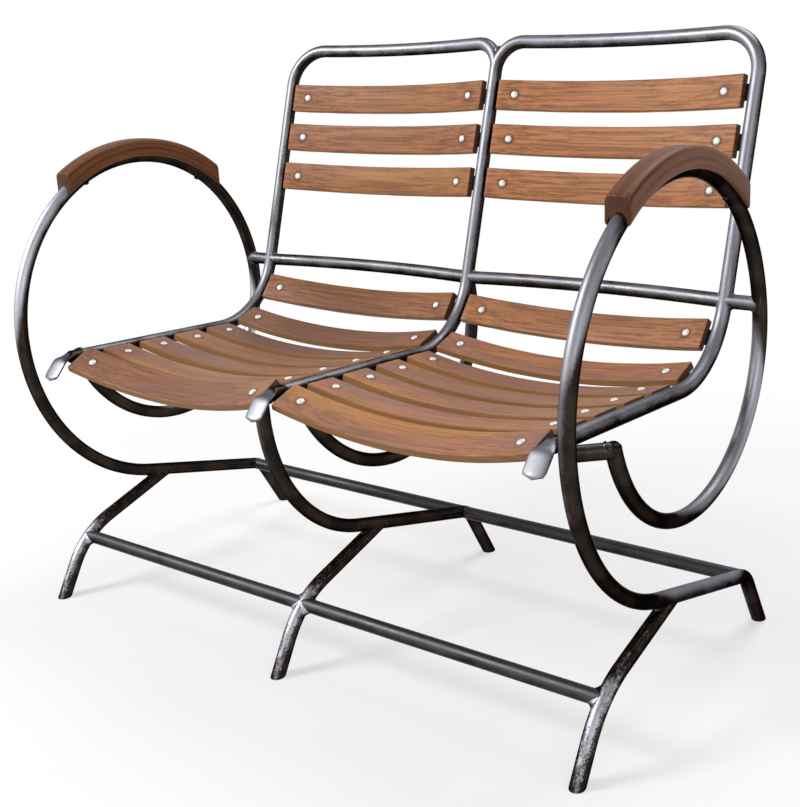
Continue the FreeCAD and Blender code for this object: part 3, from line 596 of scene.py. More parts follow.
def ends_under(rings, directions, planes):
    """Rings of a tube cut off where it first meets one of some planes, given as points and normals."""
    def reach(point, direction):
        return min((origin - point).dot(normal) / direction.dot(normal) for origin, normal in planes)

    kept = [ring for ring, way in zip(rings, directions) if min(reach(point, way) for point in ring) > 0]
    way = directions[len(kept) - 1]
    return kept + [[point + way * reach(point, way) for point in kept[-1]]]


def foot_profile():
    """Heights and radii round the end of an open foot, from inside its bore to its outer face."""
    tube = sizes("tube")
    radius, bore = tube.diameter / 2, tube.diameter / 2 - tube.wall
    bore_depth, bore_edge, bore_bevel, edge, bevel_share = 0.030, 0.001, 0.0004, 0.0012, 0.3
    return [(bore_depth, bore), (bore_edge, bore), (0.0, bore + bore_bevel), (0.0, radius - edge),
            (edge * bevel_share, radius - edge * bevel_share), (edge, radius)]


def tube_piece(name, route, material, section=round_section, foot=False, open_start=False, open_end=False,
               lead=0.0, planes=None):
    """A tube along a route, closed at its ends unless they are open.

    It may have a hollow level foot at its start, and then planes that cut it off at its end. The lead is
    how far along the real tube it starts, which places the wear and the painted shade and highlight along it.
    """
    radius = sizes("tube").diameter / 2
    rings = ring_grid(route, section)
    places = [lead + distance for distance in route.distances()]
    if foot:
        point, direction, across = route.points[0], route.directions[0], route.acrosses[0]
        profile = foot_profile()
        keep = next(index for index, distance in enumerate(route.distances()) if distance > FOOT_CUT)
        foot_rings = [level_ring(point, direction, across, size, height) for height, size in profile]
        rings = foot_rings + rings[keep:]
        places = [height for height, size in profile] + places[keep:]
        directions = [direction] * len(profile) + route.directions[keep:]
        if planes:
            rings = ends_under(rings, directions, planes)
    vertices = [point for ring in rings for point in ring]
    coordinates = [(place, radius * math.cos(turn), radius * math.sin(turn))
                   for place, ring in zip(places, rings) for turn in turns(len(ring))]
    faces = bridge(rings)
    if not open_start:
        faces.append(tuple(range(RING_POINTS)))
    if not open_end:
        faces.append(tuple(range(len(vertices) - RING_POINTS, len(vertices))))
    return mesh_piece(name, vertices, faces, material, coordinates)


def soft_end_section(total):
    """Half sizes of a plain tube whose closed end is rounded off."""
    radius = sizes("tube").diameter / 2

    def half_sizes(distance):
        short = max(SOFT_END - (total - distance), 0)
        size = radius - SOFT_END + math.sqrt(max(SOFT_END ** 2 - short ** 2, 0))
        return size, size
    return half_sizes


def left_seat_section(route):
    """Half sizes of the left seat's tube, flat at its start and slightly thinner where it ends in another."""
    total, run, sunk = route.distances()[-1], sizes("seat").inner_corner, 0.0005
    radius = sizes("tube").diameter / 2
    flattened, flattened_run = paddle_section(total, False), 0.2

    def half_sizes(distance):
        if distance < flattened_run:
            return flattened(distance)
        size = radius - sunk * smooth((distance - total + run) / run)
        return size, size
    return half_sizes


def finish_piece(piece, body, slot_name, *nodes):
    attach(piece, body)
    if nodes:
        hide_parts(*nodes)
    return piece


def surface_distance(routes, point):
    """Distance to the nearest of some centre lines, and the nearest point on it."""
    return min((route.nearest(point) for route in routes), key=lambda found: found[0])


def first_touch(column, mains, radius):
    """Where a line of points first runs into some tubes, as the index after it and the share up to that."""
    halvings = 14
    for index in range(1, len(column)):
        if surface_distance(mains, column[index])[0] < radius:
            low, high = 0.0, 1.0
            for step in range(halvings):
                middle = (low + high) / 2
                inside = surface_distance(mains, column[index - 1].lerp(column[index], middle))[0] < radius
                low, high = (low, middle) if inside else (middle, high)
            return index, high
    return None


def weld_ring(column, radials, mains, radius, fillet, ripple):
    """Section of a weld where one line along the branch runs into the main tube."""
    shortest_leg, longest_leg, sunk, bulge, root, least_away = 0.22, 2.6, 0.12, 0.16, 0.8, 0.05
    touch = first_touch(column, mains, radius)
    if not touch:
        return None
    index, share = touch
    hit = column[index - 1].lerp(column[index], share)
    back = (column[index - 1] - column[index]).normalized()
    radial = radials[index - 1].lerp(radials[index], share).normalized()
    foot = surface_distance(mains, hit)[1]
    main_normal = (hit - foot).normalized()
    away = radial - main_normal * radial.dot(main_normal)
    away = away.normalized() if away.length > least_away else back
    groove = math.pi - main_normal.angle(radial)
    leg = fillet * min(max(1 / math.tan(groove / 2), shortest_leg), longest_leg)
    sink = fillet * sunk
    on_branch = hit + back * leg - radial * sink
    on_main = hit + away * leg
    foot = surface_distance(mains, on_main)[1]
    on_main = foot + (on_main - foot).normalized() * (radius - sink)
    outward = (radial + main_normal).normalized()
    control = hit + outward * (fillet * (bulge + ripple))
    ring = []
    for share in (0, 0.25, 0.5, 0.75, 1):
        ring.append(on_branch * (1 - share) ** 2 + control * (2 * share * (1 - share)) + on_main * share ** 2)
    ring.append(hit - outward * fillet * root)
    return ring


def bead_piece(name, rings, material, body):
    """A weld bead that runs round a joint and closes on itself."""
    vertices = [point for ring in rings for point in ring]
    places = [tuple(point) for point in vertices]
    piece = mesh_piece(name, vertices, bridge(rings, closed=True), material, places)
    return finish_piece(piece, body, "tube_steel")


def weld_piece(name, branch, at_end, mains, material, body, fillet=None):
    """A fillet weld all the way round the end of one tube, where it meets others."""
    reach, skin = 16, 0.995
    ripple_depth, ripple_rate, ripple_detail = 0.10, 1.9, 90
    radius = sizes("tube").diameter / 2
    fillet = fillet or sizes("tube").weld_size
    way = 1 if at_end else -1
    grid, centres = ring_grid(branch)[::way][-reach:], branch.points[::way][-reach:]
    rings = []
    for step in range(WELD_POINTS):
        turn = step / WELD_POINTS * RING_POINTS
        first, share = int(turn) % RING_POINTS, turn % 1
        second = (first + 1) % RING_POINTS
        column = [ring[first].lerp(ring[second], share) for ring in grid]
        radials = [(place - centre).normalized() for place, centre in zip(column, centres)]
        column = [centre + radial * radius * skin for centre, radial in zip(centres, radials)]
        ripple = ripple_depth * math.sin(step * ripple_rate + len(name))
        ripple *= noise.noise(column[-1] * ripple_detail)
        ring = weld_ring(column, radials, mains, radius, fillet, ripple)
        if ring:
            rings.append(ring)
    return bead_piece(name, rings, material, body)


class Shader:
    """Short ways to add nodes to one material or node group."""

    def __init__(self, tree):
        self.tree = tree

    def put(self, socket, value):
        if isinstance(value, bpy.types.NodeSocket):
            self.tree.links.new(value, socket)
        elif value is not None:
            if socket.type == "RGBA" and len(value) == 3:
                value = (*value, 1.0)
            socket.default_value = value

    def node(self, kind, *values, **settings):
        made = self.tree.nodes.new(kind)
        named = settings.pop("inputs", {})
        for name, value in settings.items():
            setattr(made, name, value)
        for socket, value in zip(made.inputs, values):
            self.put(socket, value)
        for name, value in named.items():
            self.put(made.inputs[name], value)
        return made

    def math(self, operation, first, second=0.5, clamp=False):
        return self.node("ShaderNodeMath", first, second, operation=operation, use_clamp=clamp).outputs[0]

    def add(self, first, second):
        return self.math("ADD", first, second)

    def less(self, first, second):
        return self.math("SUBTRACT", first, second)

    def times(self, first, second):
        return self.math("MULTIPLY", first, second)

    def vector(self, operation, first, second=(0, 0, 0)):
        made = self.node("ShaderNodeVectorMath", first, second, operation=operation)
        return made.outputs["Value" if operation in ("DOT_PRODUCT", "LENGTH") else "Vector"]

    def stretch(self, place, scales):
        return self.vector("MULTIPLY", place, scales)

    def attribute(self, name):
        return self.node("ShaderNodeAttribute", attribute_name=name).outputs["Vector"]

    def principled(self, color, roughness, height, depth, strength):
        """Links the colour, the roughness and the relief to the material's Principled shader."""
        shader = self.tree.nodes["Principled BSDF"]
        self.put(shader.inputs["Base Color"], color)
        self.put(shader.inputs["Roughness"], roughness)
        self.put(shader.inputs["Normal"], self.bump(height, depth, strength))

    def noise(self, vector, scale, detail=3.0, roughness=0.5):
        made = self.node("ShaderNodeTexNoise", inputs={"Vector": vector, "Scale": scale, "Detail": detail,
                                                       "Roughness": roughness})
        return made.outputs["Fac"]

    def ramp(self, value, low, high, to_low=0.0, to_high=1.0):
        made = self.node("ShaderNodeMapRange", value, low, high, to_low, to_high)
        made.interpolation_type = "SMOOTHSTEP"
        return made.outputs["Result"]

    def mix(self, share, first, second):
        made = self.tree.nodes.new("ShaderNodeMix")
        made.data_type = "RGBA"
        self.put(made.inputs[0], share)
        self.put(made.inputs[6], first)
        self.put(made.inputs[7], second)
        return made.outputs[2]

    def bump(self, height, distance, strength):
        inputs = {"Height": height, "Distance": distance, "Strength": strength}
        return self.node("ShaderNodeBump", inputs=inputs).outputs["Normal"]

    def group(self, tree, **values):
        made = self.tree.nodes.new("ShaderNodeGroup")
        made.node_tree = tree
        for name, value in values.items():
            self.put(made.inputs[name.replace("_", " ")], value)
        return made.outputs


def new_group(name, inputs, outputs):
    """An empty node group with named sockets, and the group's own input and output nodes."""
    tree = bpy.data.node_groups.new(name, "ShaderNodeTree")
    for label, kind, default in inputs:
        socket = tree.interface.new_socket(name=label, in_out="INPUT", socket_type=kind)
        if default is not None:
            socket.default_value = default
    for label, kind in outputs:
        tree.interface.new_socket(name=label, in_out="OUTPUT", socket_type=kind)
    shader = Shader(tree)
    source = tree.nodes.new("NodeGroupInput").outputs
    target = tree.nodes.new("NodeGroupOutput").inputs
    return shader, source, target


# Directions of the painted highlight: each steel is painted brighter on the sides that face its direction, as
# if lit from there.
HIGHLIGHT_FROM_LEFT = (-0.60, -0.60, 0.53)
HIGHLIGHT_IN_FRONT = (0.30, -0.82, 0.49)
HIGHLIGHT_ON_TOP = (0.05, -0.42, 0.91)


def steel_wear_and_highlight_group():
    """Mottled wear of blackened steel and a painted highlight: where it is rubbed bright, where it faces the
    highlight direction and is painted bright, where it is pitted, and its relief.
    """
    name = "Steel wear"
    if name in bpy.data.node_groups:
        return bpy.data.node_groups[name]
    vector, value, tint = "NodeSocketVector", "NodeSocketFloat", "NodeSocketColor"
    shader, source, target = new_group(
        name,
        [("Place", vector, None), ("Rub direction", vector, HIGHLIGHT_FROM_LEFT), ("Rub start", value, 0.0),
         ("Rub end", value, 0.8), ("Patch length", value, 22.0), ("Shelter", value, 0.0),
         ("Mottle", value, 1.0), ("Dark", tint, None), ("Brown", tint, None), ("Bright", tint, None)],
        [("Color", tint), ("Roughness", value), ("Height", value)])
    # Painted highlight: how far each face turns towards the highlight direction.
    facing = shader.vector("DOT_PRODUCT", shader.node("ShaderNodeNewGeometry").outputs["Normal"],
                           source["Rub direction"])
    clouds = shader.noise(shader.stretch(source["Place"], (0.35, 1.0, 1.0)), 34.0, 4.0, 0.62)
    flecks = shader.noise(source["Place"], 310.0, 3.0, 0.65)
    patches = shader.noise(source["Place"], source["Patch length"], 2.0, 0.5)
    streaks = shader.noise(shader.stretch(source["Place"], (0.09, 1.0, 1.0)), 420.0, 2.0, 0.6)
    broken = shader.add(shader.times(clouds, 0.65), shader.times(flecks, 0.35))
    broken = shader.less(broken, 0.5)
    exposed_and_lit = shader.add(facing, shader.times(broken, source["Mottle"]))
    exposed_and_lit = shader.add(exposed_and_lit, shader.times(shader.less(patches, 0.5), 0.5))
    exposed_and_lit = shader.less(exposed_and_lit, source["Shelter"])
    rubbed_and_lit = shader.ramp(exposed_and_lit, source["Rub start"], source["Rub end"])
    # Scratches show bright only on the sides that face the highlight direction: painted glints.
    scratch = shader.ramp(streaks, 0.62, 0.72, 0.0, 0.22)
    rubbed_and_lit = shader.math("MAXIMUM", rubbed_and_lit, shader.times(scratch, shader.ramp(facing, -0.3, 0.4)))
    pits = shader.ramp(flecks, 0.36, 0.30)
    rubbed_and_lit = shader.times(rubbed_and_lit, shader.less(1.0, shader.times(pits, 0.55)))
    base = shader.mix(shader.ramp(patches, 0.40, 0.62), source["Dark"], source["Brown"])
    shader.put(target["Color"], shader.mix(rubbed_and_lit, base, source["Bright"]))
    dullness = shader.add(clouds, shader.times(rubbed_and_lit, 0.2))
    shader.put(target["Roughness"], shader.ramp(dullness, 0.3, 0.9, 0.30, 0.52))
    relief = shader.add(shader.times(clouds, 0.5), shader.times(flecks, 0.25))
    shader.put(target["Height"], shader.less(relief, shader.times(pits, 0.2)))
    return shader.tree


def wood_grain_group():
    """Fine straight grain of oak that runs along X, with open pores, soft bands and end grain."""
    name = "Oak grain"
    if name in bpy.data.node_groups:
        return bpy.data.node_groups[name]
    vector, value, tint = "NodeSocketVector", "NodeSocketFloat", "NodeSocketColor"
    shader, source, target = new_group(
        name,
        [("Place", vector, None), ("Seed", vector, None), ("Light", tint, None), ("Dark", tint, None),
         ("Gold", tint, None), ("Pore", tint, None), ("End", value, 0.0)],
        [("Color", tint), ("Roughness", value), ("Height", value), ("Wear", value)])
    place = shader.vector("ADD", source["Place"], source["Seed"])
    sway = shader.noise(shader.stretch(place, (3.0, 9.0, 9.0)), 1.0, 2.0)
    sway = shader.times(shader.less(sway, 0.5), 0.008)
    bent = shader.vector("ADD", place, shader.node("ShaderNodeCombineXYZ", 0.0, sway, sway).outputs[0])
    bands = shader.noise(shader.stretch(bent, (3.2, 230.0, 140.0)), 1.0, 3.0, 0.55)
    fibres = shader.noise(shader.stretch(bent, (9.0, 800.0, 480.0)), 1.0, 3.0, 0.6)
    pores = shader.noise(shader.stretch(bent, (55.0, 1500.0, 1200.0)), 1.0, 1.0, 0.5)
    broad = shader.noise(shader.stretch(place, (1.4, 14.0, 14.0)), 1.0, 2.0, 0.5)
    tone = shader.add(shader.times(bands, 0.60), shader.times(fibres, 0.40))
    wood = shader.mix(shader.ramp(tone, 0.40, 0.60), source["Dark"], source["Light"])
    wood = shader.mix(shader.times(shader.ramp(broad, 0.50, 0.72), 0.7), wood, source["Gold"])
    open_pore = shader.times(shader.ramp(pores, 0.62, 0.74), shader.ramp(bands, 0.62, 0.42))
    wood = shader.mix(shader.times(open_pore, 0.75), wood, source["Pore"])
    wood = shader.mix(shader.times(source["End"], 0.8), wood, source["Pore"])
    # Random patches for the painted sheen on upward faces.
    shader.put(target["Wear"], shader.ramp(broad, 0.64, 0.34, 0.35, 1.0))
    shader.put(target["Color"], wood)
    shader.put(target["Roughness"], shader.ramp(fibres, 0.3, 0.7, 0.40, 0.54))
    relief = shader.less(shader.times(fibres, 0.6), shader.times(open_pore, 0.7))
    shader.put(target["Height"], relief)
    return shader.tree


def new_material(name):
    """A new material, with short ways to add its nodes and with its Principled shader."""
    material = bpy.data.materials.new(name)
    material.use_nodes = True
    shader = Shader(material.node_tree)
    principled = material.node_tree.nodes["Principled BSDF"]
    return material, shader, principled


def scaled(tone, factor):
    return tuple(channel * factor for channel in tone)


def steel(name, bright_start, bright_end, shine=1.0, mottle=1.0, highlight_way=HIGHLIGHT_FROM_LEFT, patch_length=22.0,
          along_tube=True, darkenings=(), rim=0.25):
    """Blackened steel with rubbed places, painted brighter on the sides that face the highlight direction. A
    lower bright start and end make it brighter.

    Each darkening names an axis of the frame, or the way along the tube, then the two places on it
    between which the steel turns darker, and how much it does so: partly wear, partly painted shade and
    highlight by place. A negative amount brightens the steel.
    """
    if name in bpy.data.materials:
        return bpy.data.materials[name]
    finish = sizes("finish")
    material, shader, principled = new_material(name)
    place = in_frame = shader.node("ShaderNodeTexCoord").outputs["Object"]
    if along_tube:
        place = shader.attribute("along_tube")
    darkening = 0.0
    # Darkening and brightening by place: partly wear, partly painted shade and painted highlight.
    if darkenings:
        axes = dict(shader.node("ShaderNodeSeparateXYZ", in_frame).outputs.items())
        axes["Along"] = shader.node("ShaderNodeSeparateXYZ", place).outputs["X"]
        for axis, fade_start, fade_end, amount in darkenings:
            darkening = shader.add(darkening, shader.ramp(axes[axis], fade_start, fade_end, 0.0, amount))
    wear = shader.group(steel_wear_and_highlight_group(), Place=place, Rub_direction=highlight_way, Rub_start=bright_start,
                        Rub_end=bright_end, Patch_length=patch_length, Shelter=darkening, Mottle=mottle,
                        Dark=finish.steel_dark, Brown=finish.steel_brown,
                        Bright=scaled(finish.steel_bright, shine))
    shader.principled(wear["Color"], wear["Roughness"], wear["Height"], depth=0.0012, strength=0.3)
    principled.inputs["Metallic"].default_value = 1.0
    blue_rim = 1.08
    principled.inputs["Specular Tint"].default_value = (rim, rim, rim * blue_rim, 1.0)
    return material


def oak(name, light, dark, gold, sheen, sheen_share, grain_along_arc=False):
    """Oiled oak. The grain runs along the piece's own X axis, or round an armrest's arc. Upward faces get a
    painted sheen, a slat's long edges a painted highlight, and its rivets a ring of painted shade.
    """
    if name in bpy.data.materials:
        return bpy.data.materials[name]
    material, shader, principled = new_material(name)
    texture = shader.node("ShaderNodeTexCoord").outputs
    info = shader.node("ShaderNodeObjectInfo")
    seed = shader.stretch(info.outputs["Location"], (7.3, 11.1, 5.7))
    place = texture["Object"]
    own = shader.node("ShaderNodeSeparateXYZ", texture["Normal"]).outputs
    end_axis, end_start, end_full = ("Y", 0.90, 0.99) if grain_along_arc else ("X", 0.5, 0.8)
    end = shader.ramp(shader.math("ABSOLUTE", own[end_axis]), end_start, end_full)
    if grain_along_arc:
        place = shader.attribute("along_tube")
    wood = shader.group(wood_grain_group(), Place=place, Seed=seed, Light=light, Dark=dark, Gold=gold,
                        Pore=sizes("finish").pore, End=end)
    upward = shader.vector("DOT_PRODUCT", shader.node("ShaderNodeNewGeometry").outputs["Normal"], (0, 0, 1))
    tone = wood["Color"]
    if not grain_along_arc:
        # Painted highlight: the slats' long edges are painted golden, where light catches them.
        edge = shader.ramp(shader.math("ABSOLUTE", own["Y"]), 0.55, 0.95, 0.0, 0.8)
        tone = shader.mix(edge, tone, sizes("finish").oak_edge)
        # Painted shade round each rivet.
        tone = shader.mix(rivet_shade_ring(shader, texture["Object"]), tone, sizes("finish").pore)
    # Painted sheen: upward faces turn grey in random patches, as if the bright room were reflected in them.
    sheen_here = shader.times(shader.ramp(upward, 0.45, 0.95, 0.0, sheen_share), wood["Wear"])
    tone = shader.mix(sheen_here, tone, sheen)
    shader.principled(tone, wood["Roughness"], wood["Height"], depth=0.0006, strength=0.35)
    principled.inputs["Specular IOR Level"].default_value = 0.2
    return material


def rivet_shade_ring(shader, place):
    """Mask of the soft dark ring of painted shade round the two rivets of a slat."""
    slat = sizes("slat")
    half, radius = slat_geometry("seat")[:2]
    rivet_at = (radius - slat.thickness / 2) * (half - slat.rivet_inset) / radius
    flat = shader.stretch(shader.vector("ABSOLUTE", place), (1, 1, 0))
    gap = shader.vector("LENGTH", shader.vector("SUBTRACT", flat, (rivet_at, 0, 0)))
    return shader.ramp(gap, slat.rivet_diameter * 0.5, slat.rivet_diameter * 1.05, 0.62, 0.0)


def slat_oak(side):
    """The oak of one seat's slats: the right seat's is paler than the left's."""
    finish = sizes("finish")
    paleness = getattr(finish, f"{side}_paleness")
    tones = (finish.oak_light, finish.oak_dark, finish.oak_gold, finish.oak_worn)
    return oak(f"{side}_slat_oak", *(scaled(tone, paleness) for tone in tones), sheen_share=0.7)


def armrest_oak():
    finish = sizes("finish")
    return oak("armrest_oak", finish.arm_light, finish.arm_dark, finish.arm_light, finish.arm_sheen,
               sheen_share=0.55, grain_along_arc=True)


# The two hoops are brightened and darkened unlike each other, partly wear and partly painted highlight and
# shade. Stretches are metres along the tube from its rear foot.
HOOP_SHINE = {"left": 1.9, "right": 1.15}
HOOP_RAIL_DARKENING = {"left": 0.0, "right": -1.0}
HOOP_BRIGHT_STRETCH = {"left": (0.79, 1.08), "right": (0.84, 1.04)}


def hoop_steel(side):
    """Bright in front of the armrest and behind the seat, and nearly black in between: partly wear, partly
    painted highlight and shade.
    """
    rail, (fade_start, fade_end) = HOOP_RAIL_DARKENING[side], HOOP_BRIGHT_STRETCH[side]
    stretches = ((0.11, 0.18, rail), (0.36, 0.50, 0.25 - rail), (fade_start, fade_start + 0.12, -1.30),
                 (fade_end, fade_end + 0.09, 1.45), (1.62, 1.80, -2.40), (1.80, 1.96, 1.05), (1.98, 2.16, 1.20))
    return steel(f"{side}_hoop_steel", 0.15, 1.15, HOOP_SHINE[side],
                 darkenings=[("Along", *stretch) for stretch in stretches])


def middle_steel():
    return steel("middle_steel", 0.20, 1.50)


def leg_steel():
    """Bright and pitted near the stretcher, and darker above it and at the foot; a painted highlight down the
    front of each leg leaves its edges dark as painted shade.
    """
    return steel("leg_steel", 0.45, 1.25, shine=1.7, mottle=4.2, highlight_way=HIGHLIGHT_IN_FRONT, patch_length=60.0,
                 darkenings=(("Z", 0.10, 0.19, 0.60), ("Z", 0.05, 0.0, 0.55)))


def rail_steel():
    return steel("rail_steel", 0.15, 1.05, shine=0.85, mottle=1.8)


def stretcher_steel():
    """Evenly worn, with a painted highlight along the top, and barer towards the legs."""
    return steel("stretcher_steel", 0.15, 1.05, shine=0.28, mottle=2.0, highlight_way=HIGHLIGHT_ON_TOP, rim=0.8,
                 darkenings=(("Along", 0.03, 0.0, -0.50), ("Along", 0.49, 0.52, -0.50)))


def seat_steel():
    """Bright on the uprights, and less so on the top rails and on the flat front ends, partly wear and partly
    a painted highlight on the sides that face front left.
    """
    return steel("seat_steel", -0.25, 0.60, shine=0.95, mottle=1.9, darkenings=(
        ("Z", 0.84, 0.89, 0.25), ("Y", -0.262, -0.272, 1.20), ("Y", -0.284, -0.298, -0.80),
        ("X", 0.25, 0.45, -0.25), ("Z", 0.58, 0.48, -0.18)))


def weld_steel():
    return steel("weld_steel", -0.4, 0.9, patch_length=60.0)


def dark_weld_steel():
    return steel("dark_weld_steel", 0.6, 1.8, patch_length=60.0)


def bright_rivet():
    if "bright_rivet" in bpy.data.materials:
        return bpy.data.materials["bright_rivet"]
    material, shader, principled = new_material("bright_rivet")
    place = shader.node("ShaderNodeTexCoord").outputs["Object"]
    marks = shader.noise(place, 900.0, 3.0, 0.6)
    bright, dull = sizes("finish").rivet, scaled(sizes("finish").rivet, 0.82)
    tone = shader.mix(shader.ramp(marks, 0.35, 0.65), dull, bright)
    shader.principled(tone, shader.ramp(marks, 0.3, 0.7, 0.34, 0.5), marks, depth=0.0002, strength=0.3)
    principled.inputs["Metallic"].default_value = 0.4
    return material


def slat_geometry(kind):
    """Half length, mean radius and half angle of a front, seat or back slat."""
    slat, tube = sizes("slat"), sizes("tube")
    sag = getattr(slat, f"{kind}_sag")
    half = tube.seat_offset / 2 - slat.end_gap
    radius = (half ** 2 + sag ** 2) / (2 * sag)
    return half, radius, math.asin(half / radius)


def rounded_loop(half_width, low, high, radius, steps=4):
    """Points of a rounded rectangle, as pairs across and through the board."""
    loop = []
    corners = ((1, low, -math.pi / 2), (1, high, 0), (-1, high, math.pi / 2), (-1, low, math.pi))
    for side, level, begin in corners:
        middle = (side * (half_width - radius), level + (radius if level == low else -radius))
        loop += arc(middle, radius, begin, math.pi / 2, steps)
    return loop


def inset_loop(loop, amount):
    """The same loop drawn in towards its own middle by an amount on every side."""
    half_width = max(point[0] for point in loop)
    low, high = min(point[1] for point in loop), max(point[1] for point in loop)
    middle, half_height = (low + high) / 2, (high - low) / 2
    inner_width, inner_height = half_width - amount, half_height - amount
    return [(u * inner_width / half_width, middle + (v - middle) * inner_height / half_height)
            for u, v in loop]


def end_stations(begin, end, steps, softness):
    """Shares along a board with their inset, so that both of its ends are softened."""
    run, depth = softness
    soft = [(0.0, 1.0), (0.15, 0.5), (0.45, 0.16), (1.0, 0.0)]
    stations = [(begin + run * share, inset * depth) for share, inset in soft]
    stations += [(begin + run + (end - begin - 2 * run) * step / steps, 0.0) for step in range(1, steps)]
    stations += [(end - run * share, inset * depth) for share, inset in reversed(soft)]
    return stations


def slat_frames(side):
    """Kind, middle, direction across and direction out of the face of each slat, from the front up."""
    slat = sizes("slat")
    route = seat_side_route(0)
    spots = [(slat.seat_start, "front", getattr(slat, f"{side}_front_tilt"))]
    spots += [(slat.seat_start + slat.seat_pitch * index, "seat", 0.0) for index in range(1, 5)]
    spots += [(slat.bend_place, "back", 0.0), (slat.lower_back_place, "back", 0.0)]
    spots += [(slat.upper_back_place + slat.back_pitch * index, "back", 0.0) for index in range(3)]
    frames = []
    for place, kind, tilt in spots:
        point, direction = route.at(place)
        half, radius = slat_geometry(kind)[:2]
        across = Matrix.Rotation(tilt, 3, X_AXIS) @ direction
        face = X_AXIS.cross(across)
        offset = getattr(slat, f"{kind}_lift") + math.sqrt(radius ** 2 - half ** 2) - radius
        frames.append((kind, point + face * offset, across, face))
    return frames


def board_matrix(middle, point, across, face):
    placed = Matrix((X_AXIS, across, face)).transposed().to_4x4()
    placed.translation = Vector((middle, point.y, point.z))
    return placed


def slat_piece(name, kind, matrix, seed, material):
    """One bent slat in its own axes: X along it, Y across it and Z out of its face."""
    slat = sizes("slat")
    radius, turn = slat_geometry(kind)[1:]
    half_width, half_height = getattr(slat, f"{kind}_width") / 2, slat.thickness / 2
    loop = rounded_loop(half_width, -half_height, half_height, slat.edge_radius)
    steps, soft = 60, 0.0016
    wave_height, wave_along, wave_across, wave_seed = 0.00045, 9, 22, 3.7
    edge_height, edge_along, edge_seed = 0.0006, 14, 5.1
    rings = []
    for place, inset in end_stations(-turn, turn, steps, (soft / radius, soft)):
        ring = []
        for u, v in inset_loop(loop, inset):
            wave = wave_height * noise.noise(Vector((place * wave_along, u * wave_across, seed * wave_seed)))
            edge_sample = Vector((place * edge_along, seed * edge_seed, math.copysign(1, u)))
            edge = edge_height * noise.noise(edge_sample)
            depth, u = radius - (v + wave), u + math.copysign(edge, u)
            ring.append(Vector((depth * math.sin(place), u, radius - depth * math.cos(place))))
        rings.append(ring)
    piece = mesh_piece(name, *closed_shape(rings), material)
    piece.matrix_world = matrix
    return piece


def lathe(profile, matrix, points=20):
    """Rings of a turned shape, its profile given as pairs of radius and height."""
    return [[matrix @ Vector((radius * math.cos(turn), radius * math.sin(turn), height))
             for turn in turns(points)] for radius, height in profile]


def rivet_profiles():
    """Domed head that stands on the slat's face, and the flat head behind the tab."""
    slat = sizes("slat")
    radius, height, back = slat.rivet_diameter / 2, slat.rivet_height, -slat.thickness - slat.tab_thickness
    rim, sunk, steps, fullness = 0.0003, 0.0004, 7, 0.9
    dome = [(radius * 0.96, -sunk), (radius, rim)]
    for step in range(1, steps):
        turn = step / steps * math.pi / 2
        dome.append((radius * math.cos(turn) ** fullness, rim + (height - rim) * math.sin(turn)))
    dome.append((radius * 0.06, height))
    tail = ((0.80, sunk), (0.82, -0.0008), (0.66, height * -0.45), (0.1, height * -0.5))
    return dome, [(radius * share, back + rise) for share, rise in tail]


def rivet_matrix(kind, matrix, end):
    """At one rivet of a slat, on its face, with Z out of the face."""
    slat = sizes("slat")
    half, radius = slat_geometry(kind)[:2]
    place = math.asin((half - slat.rivet_inset) / radius) * end
    depth = radius - slat.thickness / 2
    local = Matrix.Translation((depth * math.sin(place), 0, radius - depth * math.cos(place)))
    return matrix @ local @ Matrix.Rotation(-place, 4, "Y")


def tab_rings(matrix, end):
    """A steel tab behind a slat's end, round where it passes the rivet."""
    slat = sizes("slat")
    edge, clearance, steps = 0.0006, 0.0002, 12
    half_width, top = slat.tab_width / 2, -slat.thickness - clearance
    bottom = top - slat.tab_thickness
    outline = [(slat.tab_into_tube, -half_width), (slat.tab_into_tube, half_width)]
    outline += arc((half_width - slat.tab_past_rivet, 0), half_width, math.pi / 2, math.pi, steps)
    levels = [(top, edge), (top - edge, 0), (bottom + edge, 0), (bottom, edge)]
    return [[matrix @ Vector((end * (u - math.copysign(inset, u)), w - math.copysign(inset, w), level))
             for u, w in outline] for level, inset in levels]


def dark_metal(kind):
    """Dull dark steel of the small parts, which have no way along a tube."""
    bright_start, bright_end = {"tab": (0.3, 1.6), "screw": (0.8, 2.0)}[kind]
    return steel(f"dark_{kind}_steel", bright_start, bright_end, along_tube=False)


def seat_pieces(side, sign):
    """The slats of one seat, each with its own seed for its uneven edges, and their rivets and tabs."""
    middle = sign * sizes("tube").seat_offset / 2
    rivets, tabs = ([], []), ([], [])
    dome, tail = rivet_profiles()
    for index, (kind, point, across, face) in enumerate(slat_frames(side), start=1):
        name = f"{side}_slat_{index:02d}"
        matrix = board_matrix(middle, point, across, face)
        seed = index if side == "left" else index + 20
        piece = slat_piece(f"{name}_oak", kind, matrix, seed, slat_oak(side))
        finish_piece(piece, "seat_unit", "slat_wood", name)
        for end in (-1, 1):
            at_rivet = rivet_matrix(kind, matrix, end)
            add_shape(*rivets, lathe(dome, at_rivet))
            add_shape(*rivets, lathe(tail, at_rivet))
            add_shape(*tabs, tab_rings(at_rivet, end))
    piece = mesh_piece(f"{side}_rivet_heads", *rivets, bright_rivet())
    finish_piece(piece, "seat_unit", "rivet_steel", f"{side}_slat_rivets")
    piece = mesh_piece(f"{side}_tabs", *tabs, dark_metal("tab"))
    piece.data.polygons.foreach_set("use_smooth", [False] * len(piece.data.polygons))
    finish_piece(piece, "seat_unit", "tab_steel", f"{side}_slat_tabs")


def top_arc_centre(x):
    hoop = sizes("hoop")
    route = side_hoop_route(x)
    index = route.corners[4]
    inward = X_AXIS.cross(route.directions[index]) * -1
    return route.points[index] + inward * hoop.top_radius


